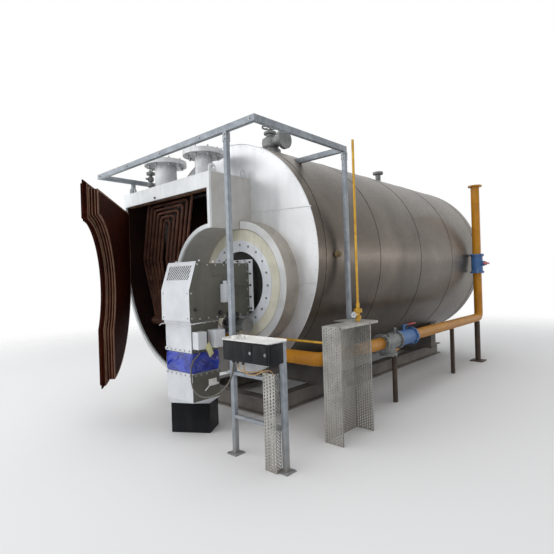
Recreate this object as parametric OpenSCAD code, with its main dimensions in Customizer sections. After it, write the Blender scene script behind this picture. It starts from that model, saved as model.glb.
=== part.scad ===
// Horizontal shell boiler with a front smoke chamber, superheater, burner and gas line.
// Millimetres. X is to the right seen from the burner, Y runs to the rear, Z is up.

/* [Boiler shell] */
// Outer radius of the insulated shell
shell_r = 1425; // [1400:5:1450]
// Length of the shell over both ends
shell_len = 5120; // [5000:10:5400]
// Height of the shell axis above the floor
shell_axis_z = 1821; // [1810:1:1840]
// Thickness of the insulated shell wall
shell_wall = 110; // [60:5:140]
// Thickness of the insulated front end
front_t = 120; // [80:5:160]
// Length of the rear end with its rounded edge
rear_len = 240; // [180:10:300]
// Radius of the rounded rear edge
rear_edge_r = 90; // [40:5:120]
// Thickness of the insulated rear wall
rear_wall = 110; // [80:5:140]
// Thickness of the steel tube plate
tube_plate_t = 25; // [16:1:40]

/* [Base and saddles] */
// Height of the two base rails
rail_h = 200; // [160:5:240]
// Flange width of a base rail
rail_w = 150; // [120:5:200]
// Distance of a base rail from the middle
rail_x = 640; // [560:10:700]
// Length of the base rails
rail_len = 4900; // [4600:50:5100]
// Distance of the front saddle from the front
saddle_front_y = 800; // [600:10:1000]
// Distance of the rear saddle from the front
saddle_rear_y = 4100; // [3900:10:4300]
// Width of a saddle across the boiler
saddle_w = 1700; // [1500:20:1900]
// Length of a saddle along the boiler
saddle_len = 240; // [180:10:320]
// Plate thickness of the saddles
saddle_t = 20; // [12:1:30]
// Thickness of the curved wrap under the shell
saddle_wrap = 14; // [8:1:20]

/* [Furnace mouth] */
// Burner axis to the right of the middle
burner_x = 427; // [420:1:435]
// Height of the burner axis
burner_z = 1527; // [1520:1:1535]
// Outer radius of the clad furnace collar
collar_r = 720; // [700:5:740]
// Outer radius of the pale insulation ring
insulation_r = 625; // [610:1:640]
// Outer radius of the bolted steel ring
flange_ring_r = 500; // [490:5:510]
// Inner radius of the bolted steel ring
flange_ring_in_r = 372; // [360:1:380]
// Distance that the collar stands in front of the front end
collar_len = 200; // [180:5:220]
// Thickness of the steel ring
flange_ring_t = 40; // [25:5:50]
// Thickness of the burner plate
burner_plate_t = 20; // [12:1:30]

/* [Smoke chamber] */
// Depth of the chamber in front of the boiler
box_depth = 618; // [580:2:660]
// Depth of the chamber top below the shell crown
box_drop = 478; // [440:2:510]
// Right edge of the chamber
box_right = 446; // [430:2:460]
// Distance of the curved outer edge inside the shell
box_inset = 35; // [25:5:55]
// Right edge of the lower end
box_low_x = -40; // [-80:5:0]
// Thickness of the chamber walls
box_wall = 46; // [30:2:60]
// Height of the band over the opening
box_band = 172; // [140:2:190]
// Thickness of the front frame
box_frame_t = 25; // [16:1:30]
// Thickness of the steel lining inside the chamber
lining_t = 8; // [5:1:12]

/* [Superheater] */
// Number of nested hairpin tubes
hairpins = 6; // [4:1:7]
// Radius of a superheater tube
hairpin_tube_r = 19; // [16:1:22]
// Distance between neighbouring legs
hairpin_pitch = 84; // [78:1:88]
// Height between the tops of neighbouring hairpins
hairpin_step = 55; // [50:1:60]
// Half width of the innermost hairpin
hairpin_inner = 62; // [56:1:66]
// Bend radius of the hairpins
hairpin_bend = 38; // [30:1:42]
// Distance of the hairpins' middle from the curved edge, at the top
hairpin_in = 790; // [780:5:800]
// Depth of the outermost hairpin below the chamber top
hairpin_drop = 136; // [120:1:160]
// Distance of the tubes in front of the boiler front
hairpin_y = 420; // [400:5:440]
// Height where the legs bend around the furnace
knee_z = 1880; // [1850:10:1900]
// Distance of the legs' middle from the curved edge, at the bend
knee_in = 620; // [610:5:630]
// Spacing of the legs at the bend, as a share of the pitch
knee_spread = 1; // [0.95:0.01:1.05]
// Distance of the legs' middle from the curved edge, at the header
foot_in = 710; // [700:5:720]
// Spacing of the legs at the header, as a share of the pitch
foot_spread = 0.68; // [0.6:0.01:0.7]
// Radius of the lower header pipe
header_r = 55; // [45:1:65]
// Height of the lower header pipe
header_z = 1120; // [1080:5:1160]

/* [Chamber door] */
// Angle at which the door stands open
door_open = 38.8; // [30:0.1:60]
// Gap between the frame and the closed door
door_gap = 8; // [6:1:14]
// Thickness of the door plate
door_plate_t = 12; // [8:1:16]
// Thickness of the clad outer side
door_clad_t = 20; // [15:1:30]
// Thickness of the rim step of the door lining
door_step_t = 26; // [20:1:27]
// Thickness of the lining block that reaches into the chamber
door_block_t = 88; // [70:1:95]
// Overlap of the door plate over the frame at the sides
door_lap = 14; // [8:1:20]
// Gap of the door plate below the upper edge of the opening
door_top_gap = 18; // [12:1:30]
// Clearance of the lining in the opening
lining_gap = 8; // [7:1:14]
// Width of the step around the lining
door_rim = 52; // [40:1:60]
// Distance of the cladding from the edge of the door plate
door_clad_in = 30; // [26:1:40]
// Distance of the hinge axis from the chamber edge
hinge_off = 48; // [46:1:60]
// Radius of the hinge pins
hinge_pin_r = 16; // [12:1:20]
// Radius of the hinge knuckles
hinge_r = 28; // [24:1:30]
// Heights of the hinges above the shell axis
hinge_up = [-161, 239, 600];
// Height of one hinge
hinge_h = 150; // [120:5:180]

/* [Top fittings] */
// Middle of the steam inlet nozzle
inlet_xy = [-770, -350];
// Radius of the steam inlet nozzle
inlet_r = 140; // [120:5:150]
// Radius of the steam inlet flange
inlet_flange_r = 270; // [240:5:300]
// Height of the steam inlet flange face above the chamber
inlet_rise = 372; // [320:2:420]
// Middle of the steam outlet nozzle
outlet_xy = [0, -330];
// Radius of the steam outlet nozzle
outlet_r = 105; // [90:5:120]
// Radius of the steam outlet flange
outlet_flange_r = 245; // [220:5:260]
// Height of the steam outlet flange face above the chamber
outlet_rise = 352; // [320:2:420]
// Thickness of the nozzle flanges
nozzle_flange_t = 28; // [20:1:36]
// Radius of a flange bolt hole
flange_hole_r = 13; // [11:1:15]
// Number of flange bolt holes
flange_holes = 8; // [8:4:12]
// Thickness of the lifting lugs
lug_t = 20; // [12:1:30]

/* [Crown and rear fittings] */
// Distance of the steam valve behind the front
crown_valve_y = 860; // [800:10:1100]
// Radius of the steam valve's pipe
crown_pipe_r = 84; // [70:1:95]
// Radius of the steam valve's flanges
crown_flange_r = 142; // [120:2:160]
// Distance of the vent stub behind the front
vent_y = 3350; // [3200:10:3900]
// Distance of the vent stub to the right of the crown
vent_x = 280; // [200:10:320]
// Distance of the side stub behind the front
side_stub_y = 324; // [300:1:360]
// Radius of the rear manhole
manhole_r = 230; // [200:5:260]
// Height of the rear manhole above the shell axis
manhole_up = 620; // [400:10:800]

/* [Burner] */
// Width of the burner casing
casing_w = 460; // [440:5:480]
// Left side of the burner casing
casing_x = 200; // [190:5:210]
// Front of the burner casing
casing_front = 1070; // [1040:5:1090]
// Rear of the burner casing
casing_rear = 275; // [260:5:290]
// Height of the casing underside
casing_low = 1185; // [1170:5:1200]
// Height of the knee in the casing front
casing_knee = 1490; // [1460:5:1520]
// Height of the casing top
casing_top = 1755; // [1730:5:1780]
// Distance that the casing top stands back
casing_slope = 95; // [80:5:120]
// Thickness of the light front cover
cover_t = 20; // [12:1:26]
// Depth of the front cover along the sides
cover_side = 46; // [30:2:60]
// Number of slanted louvre slats
louvres = 11; // [6:1:13]
// Slant of the louvre slats
louvre_slant = 32; // [0:1:45]
// Height of the louvre window along the slope
louvre_h = 150; // [120:2:180]
// Distance of the louvre window from the sides of the cover
louvre_in = 42; // [30:1:60]
// Overlap of the burner flange around the casing
burner_flange_lap = 42; // [30:2:50]
// Thickness of the burner flange
burner_flange_t = 25; // [16:1:30]
// Radius of the burner neck
neck_r = 250; // [230:5:270]

/* [Air duct] */
// Width of the air duct
duct_w = 440; // [420:5:460]
// Left side of the air duct
duct_x = 205; // [200:1:215]
// Front of the air duct
duct_front = 1060; // [1040:5:1080]
// Depth of the air duct
duct_depth = 340; // [320:5:360]
// Height where the wrapped part starts
duct_flex_low = 670; // [650:5:690]
// Height where the wrapped part ends
duct_flex_top = 870; // [850:5:890]
// Height where the lower duct starts
duct_low = 390; // [370:5:410]
// Left front corner of the inlet box
inlet_box_at = [200, -1020];
// Turn of the inlet box
inlet_box_turn = 32.3; // [20:0.1:40]
// Height of the inlet box
inlet_box_h = 310; // [280:5:330]
// Width of the inlet box
inlet_box_w = 421; // [400:1:440]
// Depth of the inlet box
inlet_box_d = 285; // [260:5:300]

/* [Service frame] */
// Side of the square frame posts
post_s = 45; // [40:1:50]
// Height of the beam underside above the chamber
beam_rise = 162; // [140:2:220]
// Height of the beams
beam_h = 60; // [40:2:80]
// Middle of the front post
post_a = [1144, -968];
// Distance of the rear post from the shell
post_b_off = 84; // [70:1:100]
// Distance of the rear post behind the front
post_b_y = 402; // [390:1:420]
// Distance of the left beam inside the curved chamber edge
beam_inset = 18; // [10:1:30]

/* [Terminal box] */
// Left side of the terminal box
term_x = 1234; // [1220:2:1250]
// Width of the terminal box
term_w = 548; // [520:2:570]
// Depth of the terminal box
term_d = 170; // [150:2:190]
// Height of the terminal box underside
term_z = 897; // [880:1:920]
// Height of the terminal box
term_h = 169; // [150:1:190]
// Thickness of the terminal lid
lid_t = 34; // [20:1:40]
// Middle of the terminal leg
leg_x = 1754; // [1740:1:1756]
// Width of the cable tray
tray_w = 130; // [100:5:140]
// Depth of the cable tray
tray_d = 60; // [40:2:70]

/* [Cable guard] */
// Near end of the guard along the boiler
guard_y = -270; // [-290:1:-260]
// Length of the guard web
guard_len = 553; // [540:1:580]
// Distance of the guard web from the shell
guard_off = 217; // [210:1:240]
// Width of the guard flanges
guard_w = 200; // [190:5:210]
// Height of the guard
guard_h = 1108; // [1090:1:1120]
// Sheet thickness of guard and tray
sheet_t = 4; // [3:1:6]

/* [Gas line] */
// Distance of the gas line's middle from the shell
gas_off = 125; // [120:1:135]
// Height of the gas line
gas_z = 765; // [755:1:775]
// Outer radius of the gas pipe
gas_r = 70; // [60:1:75]
// Wall thickness of the gas pipe
gas_wall = 6; // [4:1:8]
// Radius of the flanges in the gas line
gas_flange_r = 115; // [110:1:118]
// Radius of the filter and valve bodies
gas_body_r = 94; // [86:1:100]
// Bend radius of the gas pipe
gas_bend = 95; // [90:1:98]
// Distance of the riser behind the front
riser_y = 4500; // [4400:10:4600]
// Start of the gas filter behind the front
filter_y = 990; // [900:10:1100]
// Length of the gas filter
filter_len = 390; // [360:5:420]
// Length of the ball valve
valve_len = 430; // [400:5:450]
// Height of the riser valve underside
riser_valve_z = 1550; // [1500:10:1600]
// Height of the riser valve
riser_valve_h = 330; // [300:10:380]
// Height of the riser flange face
riser_top = 3100; // [2200:10:3200]
// Distance of the middle support behind the front
support_y = 3200; // [3000:10:3400]
// Radius of the pilot gas pipe
pilot_r = 13; // [10:1:16]
// Height of the pilot gas riser
pilot_top = 2980; // [2400:10:3100]

/* [Hidden] */
$fn = 96;
// Clearance between pieces that seat on each other
fit = 0.3;
// Reach of a cutting solid past what it cuts
over = 10;
// Far larger than the boiler, for cutting away a whole side
far = 6000;

inner_r = shell_r - shell_wall;
box_top = shell_axis_z + shell_r - box_drop;
box_r = shell_r - box_inset;
inlet_top = box_top + inlet_rise;
outlet_top = box_top + outlet_rise;
beam_z = box_top + beam_rise;
beam_left = -box_r + beam_inset;
post_b = [shell_r + post_b_off, post_b_y];
beam_right = post_b[0] + post_s / 2;
guard_x = shell_r + guard_off;
gas_x = shell_r + gas_off;
hairpin_x = -box_r + hairpin_in;
knee_x = -box_r + knee_in;
foot_x = -box_r + foot_in;
hairpin_top = box_top - hairpin_drop;
hinge_z = [for (up = hinge_up) shell_axis_z + up];
ring_y = -collar_len;
plate_y = ring_y + flange_ring_t;
hinge_x = -box_r - hinge_off;
hinge_y = -box_depth - door_gap - door_plate_t / 2;
hinge_ear = hinge_h / 3;
hinge_play = 0.5;
door_back = -box_depth - door_gap;
door_front = door_back - door_plate_t;
casing_right = casing_x + casing_w;
post_b_foot = guard_h + sheet_t + fit;
// Height where the legs leave the header's straight stubs
foot_z = header_z + 60;

// Solid between two distances behind the front, from its outline seen from the front
module along_y(y0, y1) {
    translate([0, y1, 0]) rotate([90, 0, 0]) linear_extrude(y1 - y0) children();
}

module rod_y(x, z, r, y0, y1) {
    translate([x, y1, z]) rotate([90, 0, 0]) cylinder(r = r, h = y1 - y0);
}

module rod_x(y, z, r, x0, x1) {
    translate([x0, y, z]) rotate([0, 90, 0]) cylinder(r = r, h = x1 - x0);
}

function unit(v) = v / norm(v);

// Places its children with local x and z along two given directions
module placed(at, x, z) {
    y = cross(z, x);
    multmatrix([[x[0], y[0], z[0], at[0]], [x[1], y[1], z[1], at[1]], [x[2], y[2], z[2], at[2]], [0, 0, 0, 1]])
        children();
}

function side_of(d) = unit(cross(d, abs(d[2]) > 0.9 ? [1, 0, 0] : [0, 0, 1]));

// Distance from a corner at which its bend starts
function bend_start(a, p, b, bend_r) =
    let (u = unit(p - a), v = unit(b - p), turn = acos(min(1, max(-1, u * v))))
    bend_r * tan(turn / 2);

module pipe_bend(a, p, b, bend_r, r) {
    u = unit(p - a);
    v = unit(b - p);
    turn = acos(min(1, max(-1, u * v)));
    inward = unit(v - u * (u * v));
    centre = p - u * bend_start(a, p, b, bend_r) + inward * bend_r;
    placed(centre, -inward, cross(-inward, u))
        rotate_extrude(angle = turn) translate([bend_r, 0]) circle(r);
}

// Round bar along a route, with a true bend at each corner
module pipe_run(route, r, bend_r) {
    last = len(route) - 1;
    for (i = [0 : last - 1]) {
        u = unit(route[i + 1] - route[i]);
        from = i == 0 ? 0 : bend_start(route[i - 1], route[i], route[i + 1], bend_r);
        to = i == last - 1 ? 0 : bend_start(route[i], route[i + 1], route[i + 2], bend_r);
        placed(route[i] + u * from, side_of(u), u)
            cylinder(r = r, h = norm(route[i + 1] - route[i]) - from - to);
        if (i > 0) pipe_bend(route[i - 1], route[i], route[i + 1], bend_r, r);
    }
}

// Points of a route with each corner rounded in a number of steps
function rounded(route, bend_r, steps) = [
    route[0],
    for (i = [1 : len(route) - 2])
        let (a = route[i - 1], p = route[i], b = route[i + 1],
             u = unit(p - a), v = unit(b - p), turn = acos(min(1, max(-1, u * v))),
             inward = unit(v - u * (u * v)),
             centre = p - u * bend_start(a, p, b, bend_r) + inward * bend_r)
        for (s = [0 : steps]) centre + bend_r * (u * sin(turn * s / steps) - inward * cos(turn * s / steps)),
    route[len(route) - 1]
];

function tangent(points, i) =
    unit(points[min(i + 1, len(points) - 1)] - points[max(i - 1, 0)]);

// Closed tube of flat sides around a list of points that bends in one plane
module swept_tube(points, r, plane, sides) {
    rings = [for (i = [0 : len(points) - 1])
        let (t = tangent(points, i), n = unit(cross(t, plane)), m = cross(n, t))
        for (k = [0 : sides - 1]) points[i] + r * (n * cos(360 * k / sides) + m * sin(360 * k / sides))];
    last = (len(points) - 1) * sides;
    polyhedron(points = rings, faces = concat(
        [[for (k = [sides - 1 : -1 : 0]) k]],
        [for (i = [0 : len(points) - 2]) for (k = [0 : sides - 1])
            let (a = i * sides + k, b = i * sides + (k + 1) % sides)
            [b, b + sides, a + sides, a]],
        [[for (k = [0 : sides - 1]) last + k]]));
}

module flange_up(x, y, z, r, t, bore_r, holes, hole_r, hole_at) {
    translate([x, y, z]) difference() {
        cylinder(r = r, h = t);
        translate([0, 0, -over]) cylinder(r = bore_r, h = t + 2 * over);
        for (i = [0 : holes - 1]) rotate([0, 0, (i + 0.5) * 360 / holes])
            translate([hole_at, 0, -over]) cylinder(r = hole_r, h = t + 2 * over, $fn = 24);
    }
}

// Outline of the crescent chamber, drawn in by a margin
module crescent(margin, low_margin = undef) {
    low = is_undef(low_margin) ? margin : low_margin;
    difference() {
        union() {
            translate([0, shell_axis_z]) circle(r = box_r - margin, $fn = 256);
            translate([-box_r + margin, shell_axis_z])
                square([box_right + box_r - 2 * margin, box_top - shell_axis_z - margin]);
        }
        translate([-far / 2, box_top - margin]) square([far, far]);
        translate([box_right - margin, -far / 2]) square([far, 2 * far]);
        translate([burner_x, burner_z]) circle(r = insulation_r + margin, $fn = 256);
        translate([box_low_x - low, burner_z - far]) square([far, far]);
    }
}

module shell_cladding() {
    color("lightsteelblue") along_y(front_t, shell_len - rear_len) translate([0, shell_axis_z]) difference() {
        circle(r = shell_r, $fn = 180);
        circle(r = inner_r, $fn = 180);
    }
}

module front_end() {
    color("gainsboro") along_y(0, front_t) difference() {
        translate([0, shell_axis_z]) circle(r = shell_r, $fn = 180);
        intersection() {
            crescent(box_wall);
            translate([0, shell_axis_z]) circle(r = shell_r - box_wall, $fn = 180);
        }
        translate([burner_x, burner_z]) circle(r = flange_ring_r - flange_ring_t);
    }
}

module rear_end() {
    start = shell_len - rear_len;
    color("lightsteelblue") translate([0, start, shell_axis_z]) rotate([-90, 0, 0]) rotate_extrude($fn = 180)
        difference() {
            union() {
                square([shell_r, rear_len - rear_edge_r]);
                square([shell_r - rear_edge_r, rear_len]);
                translate([shell_r - rear_edge_r, rear_len - rear_edge_r]) intersection() {
                    circle(r = rear_edge_r);
                    square(rear_edge_r);
                }
            }
            translate([-over, -over]) square([inner_r + over, rear_len - rear_wall + over]);
        }
}

module tube_plate() {
    color("saddlebrown") along_y(front_t, front_t + tube_plate_t)
        translate([0, shell_axis_z]) circle(r = inner_r - fit, $fn = 180);
}

// Section of a base rail, standing on the floor
module rail_section() {
    web = 12;
    flange = 16;
    translate([-rail_w / 2, 0]) square([rail_w, flange]);
    translate([-rail_w / 2, rail_h - flange]) square([rail_w, flange]);
    translate([-web / 2, flange]) square([web, rail_h - 2 * flange]);
}

module base_rails() {
    cross_half = rail_x - rail_w / 2 - fit;
    color("dimgray") {
        for (side = [-1, 1]) translate([side * rail_x, 0, 0])
            along_y(-rail_w / 2, rail_len - rail_w / 2) rail_section();
        for (y = [0, rail_len - rail_w])
            translate([0, y, 0]) along_x(-cross_half, cross_half) rail_section();
    }
}

// Outline of a saddle web between the rails and the shell
module saddle_web() {
    difference() {
        translate([-saddle_w / 2 + saddle_t, rail_h]) square([saddle_w - 2 * saddle_t, shell_axis_z - rail_h]);
        translate([0, shell_axis_z]) circle(r = shell_r + fit + saddle_wrap / 2, $fn = 180);
        translate([-far / 2, shell_axis_z - shell_r * 0.78]) square([far, far]);
    }
}

module saddle(y) {
    color("gray") translate([0, y, 0]) {
        for (at = [saddle_t, saddle_len - 2 * saddle_t])
            along_y(at, at + saddle_t) saddle_web();
        for (x = [-saddle_w / 2 + saddle_t, -saddle_t / 2, saddle_w / 2 - 2 * saddle_t])
            along_y(2 * saddle_t, saddle_len - 2 * saddle_t) intersection() {
                translate([x, rail_h]) square([saddle_t, shell_r]);
                saddle_web();
            }
        along_y(0, saddle_len) {
            translate([-saddle_w / 2, rail_h]) square([saddle_w, saddle_t]);
            intersection() {
                translate([0, shell_axis_z]) difference() {
                    circle(r = shell_r + fit + saddle_wrap, $fn = 180);
                    circle(r = shell_r + fit, $fn = 180);
                }
                translate([-saddle_w / 2, rail_h]) square([saddle_w, shell_r]);
            }
        }
    }
}

module saddles() {
    saddle(saddle_front_y);
    saddle(saddle_rear_y);
}

// Collar around the furnace mouth, flat below where the gas pipe passes
module furnace_collar() {
    flat_z = gas_z + gas_r + 12;
    color("silver") along_y(ring_y, 0) difference() {
        translate([burner_x, burner_z]) circle(r = collar_r, $fn = 128);
        translate([burner_x, burner_z]) circle(r = insulation_r, $fn = 256);
        crescent(-fit);
        translate([-far / 2, flat_z - far]) square([far, far]);
    }
}

module insulation_ring() {
    color("beige") along_y(ring_y + 12, 0) translate([burner_x, burner_z]) difference() {
        circle(r = insulation_r - fit, $fn = 128);
        circle(r = flange_ring_r + fit, $fn = 128);
    }
}

module burner_mount_ring() {
    neck_in = flange_ring_r - flange_ring_t;
    color("lightgray") {
        along_y(ring_y, plate_y) translate([burner_x, burner_z]) difference() {
            circle(r = flange_ring_r, $fn = 128);
            circle(r = flange_ring_in_r, $fn = 128);
        }
        along_y(plate_y, 0) translate([burner_x, burner_z]) difference() {
            circle(r = flange_ring_r, $fn = 128);
            circle(r = neck_in, $fn = 128);
        }
    }
}

module chamber_walls() {
    color("darkgray") {
        along_y(-box_depth + box_frame_t, 0) difference() {
            crescent(0);
            crescent(box_wall);
        }
        along_y(-box_wall / 2, 0) difference() {
            crescent(box_wall / 2);
            translate([0, shell_axis_z]) circle(r = shell_r - box_wall, $fn = 180);
        }
    }
}

module chamber_lining() {
    color("maroon") along_y(-box_depth + box_frame_t, -box_wall / 2) difference() {
        crescent(box_wall + fit);
        crescent(box_wall + fit + lining_t);
    }
}

// Outline of the front opening of the chamber
module opening_outline(margin) {
    difference() {
        crescent(box_wall + margin);
        translate([-far / 2, box_top - box_band - margin]) square([far, far]);
    }
}

module chamber_frame() {
    color("whitesmoke") along_y(-box_depth, -box_depth + box_frame_t) difference() {
        crescent(0);
        opening_outline(0);
    }
}

module lug(x, y) {
    eye_r = 22;
    lug_r = 50;
    translate([x - lug_t / 2, y, box_top]) difference() {
        union() {
            translate([0, -lug_r, 0]) cube([lug_t, 2 * lug_r, lug_r]);
            translate([0, 0, lug_r]) rotate([0, 90, 0]) cylinder(r = lug_r, h = lug_t, $fn = 48);
        }
        translate([-over, 0, lug_r + eye_r / 3]) rotate([0, 90, 0])
            cylinder(r = eye_r, h = lug_t + 2 * over, $fn = 32);
    }
}

module lifting_lugs() {
    inset = 40;
    color("silver") for (x = [box_right - inset, -box_r + inset + post_s + lug_t])
        for (y = [-box_depth + 2 * inset, -2 * inset]) lug(x, y);
}

module nozzle(at, r, flange_r, top) {
    bore = r - 12;
    hole_at = (r + flange_r) / 2 + 12;
    translate([at[0], at[1], box_top]) difference() {
        cylinder(r = r, h = top - box_top - 2 * nozzle_flange_t);
        translate([0, 0, 6]) cylinder(r = bore, h = top);
    }
    for (z = [top - 2 * nozzle_flange_t, top - nozzle_flange_t])
        flange_up(at[0], at[1], z, flange_r, nozzle_flange_t, bore, flange_holes, flange_hole_r, hole_at);
}

module steam_inlet_nozzle() {
    color("lightgray") nozzle(inlet_xy, inlet_r, inlet_flange_r, inlet_top);
}

module steam_outlet_nozzle() {
    color("lightgray") nozzle(outlet_xy, outlet_r, outlet_flange_r, outlet_top);
}

// Place of a leg at a height: the legs lean outwards to the bend and close up below it
function leg_x(u, z) = z > knee_z
    ? knee_x + u * knee_spread
        + (z - knee_z) / (hairpin_top - knee_z) * (hairpin_x - knee_x + u * (1 - knee_spread))
    : foot_x + u * foot_spread
        + (z - foot_z) / (knee_z - foot_z) * (knee_x - foot_x + u * (knee_spread - foot_spread));

function hairpin_w(k) = hairpin_inner + k * hairpin_pitch;

// Route of one hairpin, from the header over the top and back
function hairpin_route(k) =
    let (w = hairpin_w(k), top = hairpin_top - (hairpins - 1 - k) * hairpin_step)
    [for (at = [[-w, header_z], [-w, foot_z], [-w, knee_z], [-w, top],
            [w, top], [w, knee_z], [w, foot_z], [w, header_z]])
        [leg_x(at[0], max(at[1], foot_z)), -hairpin_y, at[1]]];

module superheater_tubes() {
    color("sienna") for (k = [0 : hairpins - 1])
        swept_tube(rounded(hairpin_route(k), hairpin_bend, 5), hairpin_tube_r, [0, 1, 0], 10);
}

module superheater_header() {
    half = hairpin_w(hairpins - 1) * foot_spread + 1.2 * hairpin_tube_r;
    color("sienna") {
        rod_x(-hairpin_y, header_z - header_r, header_r, foot_x - half, foot_x + half);
        for (x = [foot_x - half / 2, foot_x + half / 2])
            rod_y(x, header_z - header_r, header_r * 0.6, -hairpin_y, front_t);
    }
}

module hinge_part(z, from, to) {
    translate([hinge_x, hinge_y, z + from]) cylinder(r = hinge_r, h = to - from, $fn = 48);
}

// Bracket behind a hinge ear, cut to the chamber wall
module hinge_arm(z, h) {
    reach = hinge_r * 3.2;
    difference() {
        translate([hinge_x - hinge_r, hinge_y, z]) union() {
            cube([hinge_r * 0.8, reach, h]);
            translate([0, reach - hinge_r * 0.8, 0]) cube([hinge_off + hinge_r + box_wall, hinge_r * 0.8, h]);
        }
        along_y(-box_depth, 0) crescent(-fit);
    }
}

module hinge_brackets() {
    color("silver") for (z = hinge_z) {
        for (from = [0, hinge_h - hinge_ear]) {
            hinge_part(z, from, from + hinge_ear);
            hinge_arm(z + from, hinge_ear);
        }
        translate([hinge_x, hinge_y, z]) cylinder(r = hinge_pin_r, h = hinge_h, $fn = 48);
    }
}

// Turns the closed door about its hinge axis into its open place
module door_place() {
    translate([hinge_x, hinge_y, 0]) rotate([0, 0, -door_open]) translate([-hinge_x, -hinge_y, 0]) children();
}

// Outline of the door, drawn in from the edge of its plate
module door_outline(inset) {
    difference() {
        crescent(box_wall - door_lap + inset);
        translate([-far / 2, box_top - box_band - door_top_gap - inset]) square([far, far]);
    }
}

module door_plate() {
    color("silver") door_place() along_y(door_front, door_back) door_outline(0);
}

module door_cladding() {
    color("lightsteelblue") door_place() along_y(door_front - door_clad_t, door_front) door_outline(door_clad_in);
}

module door_lining() {
    step_back = door_back + door_step_t;
    color("maroon") door_place() {
        along_y(door_back, step_back) door_outline(door_lap + lining_gap);
        along_y(step_back, step_back + door_block_t) door_outline(door_lap + lining_gap + door_rim);
    }
}

module door_knuckles() {
    h = hinge_h - 2 * hinge_ear - 2 * hinge_play;
    leaf = hinge_off + box_wall - door_lap + door_clad_in - fit;
    color("silver") door_place() for (z = hinge_z) translate([hinge_x, hinge_y, z + hinge_ear + hinge_play]) {
        difference() {
            union() {
                cylinder(r = hinge_r, h = h, $fn = 48);
                translate([0, -hinge_r, 0]) cube([leaf, hinge_r - door_plate_t / 2, h]);
            }
            translate([0, 0, -over]) cylinder(r = hinge_pin_r + hinge_play, h = h + 2 * over, $fn = 48);
        }
    }
}

function crown_z(x) = shell_axis_z + sqrt(pow(shell_r, 2) - pow(x, 2));

module on_crown() {
    difference() {
        children();
        rod_y(0, shell_axis_z, shell_r + fit, -over, shell_len + over, $fn = 180);
    }
}

module handwheel(r) {
    rim = 18;
    difference() {
        cylinder(r = r, h = rim, $fn = 48);
        translate([0, 0, -over]) cylinder(r = r - rim, h = rim + 2 * over, $fn = 48);
    }
    for (turn = [0, 60, 120]) rotate([0, 0, turn])
        translate([-r + rim / 2, -rim / 4, rim / 4]) cube([2 * r - rim, rim / 2, rim / 2]);
    cylinder(r = rim, h = rim, $fn = 24);
}

// Valve body turned from its half outline: foot flange, belly, neck and bonnet
module crown_valve_body() {
    r = crown_pipe_r;
    rotate_extrude() polygon([[0, -30], [r, -30], [r, 70],
            [crown_flange_r, 70], [crown_flange_r, 118], [r, 118],
        [r + 30, 160], [r + 38, 220], [r + 30, 270], [56, 310], [56, 344], [r + 6, 344], [r + 6, 372],
        [30, 388], [14, 400], [14, 455], [0, 455]]);
}

module crown_valve() {
    z = crown_z(0);
    color("slategray") {
        on_crown() translate([0, crown_valve_y, z]) crown_valve_body();
        rod_x(crown_valve_y, z + 220, crown_pipe_r - 10, 20, 232);
        rod_x(crown_valve_y, z + 220, crown_flange_r - 10, 230, 278);
        translate([0, crown_valve_y, z + 440]) handwheel(118);
    }
}

// Short stubs of cut pipes, one on the crown and one on the right side of the shell
module shell_stubs() {
    r = 45;
    z = crown_z(vent_x);
    side_z = shell_axis_z;
    color("slategray") {
        on_crown() translate([vent_x, vent_y, z - 60]) cylinder(r = r, h = 200);
        translate([vent_x, vent_y, z + 140]) cylinder(r = 2 * r, h = 20);
        translate([vent_x, vent_y, z + 160]) cylinder(r = 2 * r, h = 18);
        on_crown() rod_x(side_stub_y, side_z, r * 0.8, shell_r - 20, shell_r + 34);
        rod_x(side_stub_y, side_z, r * 0.5, shell_r + 34, shell_r + 52);
    }
}

// Small valve on the chamber, beside the steam inlet
module chamber_valve() {
    r = 22;
    at = [inlet_xy[0] - inlet_flange_r - 100, inlet_xy[1]];
    color("gray") translate([at[0], at[1], box_top + fit]) {
        cylinder(r = r, h = 340, $fn = 32);
        for (z = [120, 138, 276, 294]) translate([0, 0, z]) cylinder(r = 2.6 * r, h = 16, $fn = 48);
        translate([0, 0, 216]) sphere(r = 2 * r, $fn = 48);
        translate([0, -2 * r - 30, 216]) rotate([-90, 0, 0]) cylinder(r = 0.6 * r, h = 50, $fn = 24);
    }
}

module rear_manhole() {
    z = shell_axis_z + manhole_up;
    color("silver") {
        rod_y(0, z, manhole_r, shell_len, shell_len + 40);
        rod_y(0, z, manhole_r - 50, shell_len + 40, shell_len + 62);
        translate([-14, shell_len + 62, z - 90]) cube([28, 40, 180]);
    }
}

// Side outline of the burner casing, drawn in by a margin at the front
module casing_side(grow) {
    polygon([[-casing_front - grow, casing_low], [-casing_front - grow, casing_knee],
        [-casing_front + casing_slope - grow, casing_top + grow], [-casing_rear, casing_top + grow],
        [-casing_rear, casing_low]]);
}

// Solid across the width, from an outline of depth and height
module along_x(x0, x1) {
    translate([x0, 0, 0]) rotate([90, 0, 90]) linear_extrude(x1 - x0) children();
}

module burner_casing() {
    color("dimgray") along_x(casing_x, casing_right) casing_side(0);
}

slope_low = [-casing_front - cover_t, casing_knee];
slope_high = [-casing_front + casing_slope - cover_t, casing_top + cover_t];
slope_len = norm(slope_high - slope_low);

// Places a flat outline on the sloping part of the front cover, sunk by a depth
module on_slope(depth, t) {
    rise = (slope_high - slope_low) / slope_len;
    multmatrix([[1, 0, 0, casing_x + louvre_in],
                [0, rise[0], -rise[1], slope_low[0] + rise[1] * depth],
                [0, rise[1], rise[0], slope_low[1] - rise[0] * depth]])
        translate([0, slope_len - louvre_h - louvre_in, 0]) linear_extrude(t) children();
}

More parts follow.
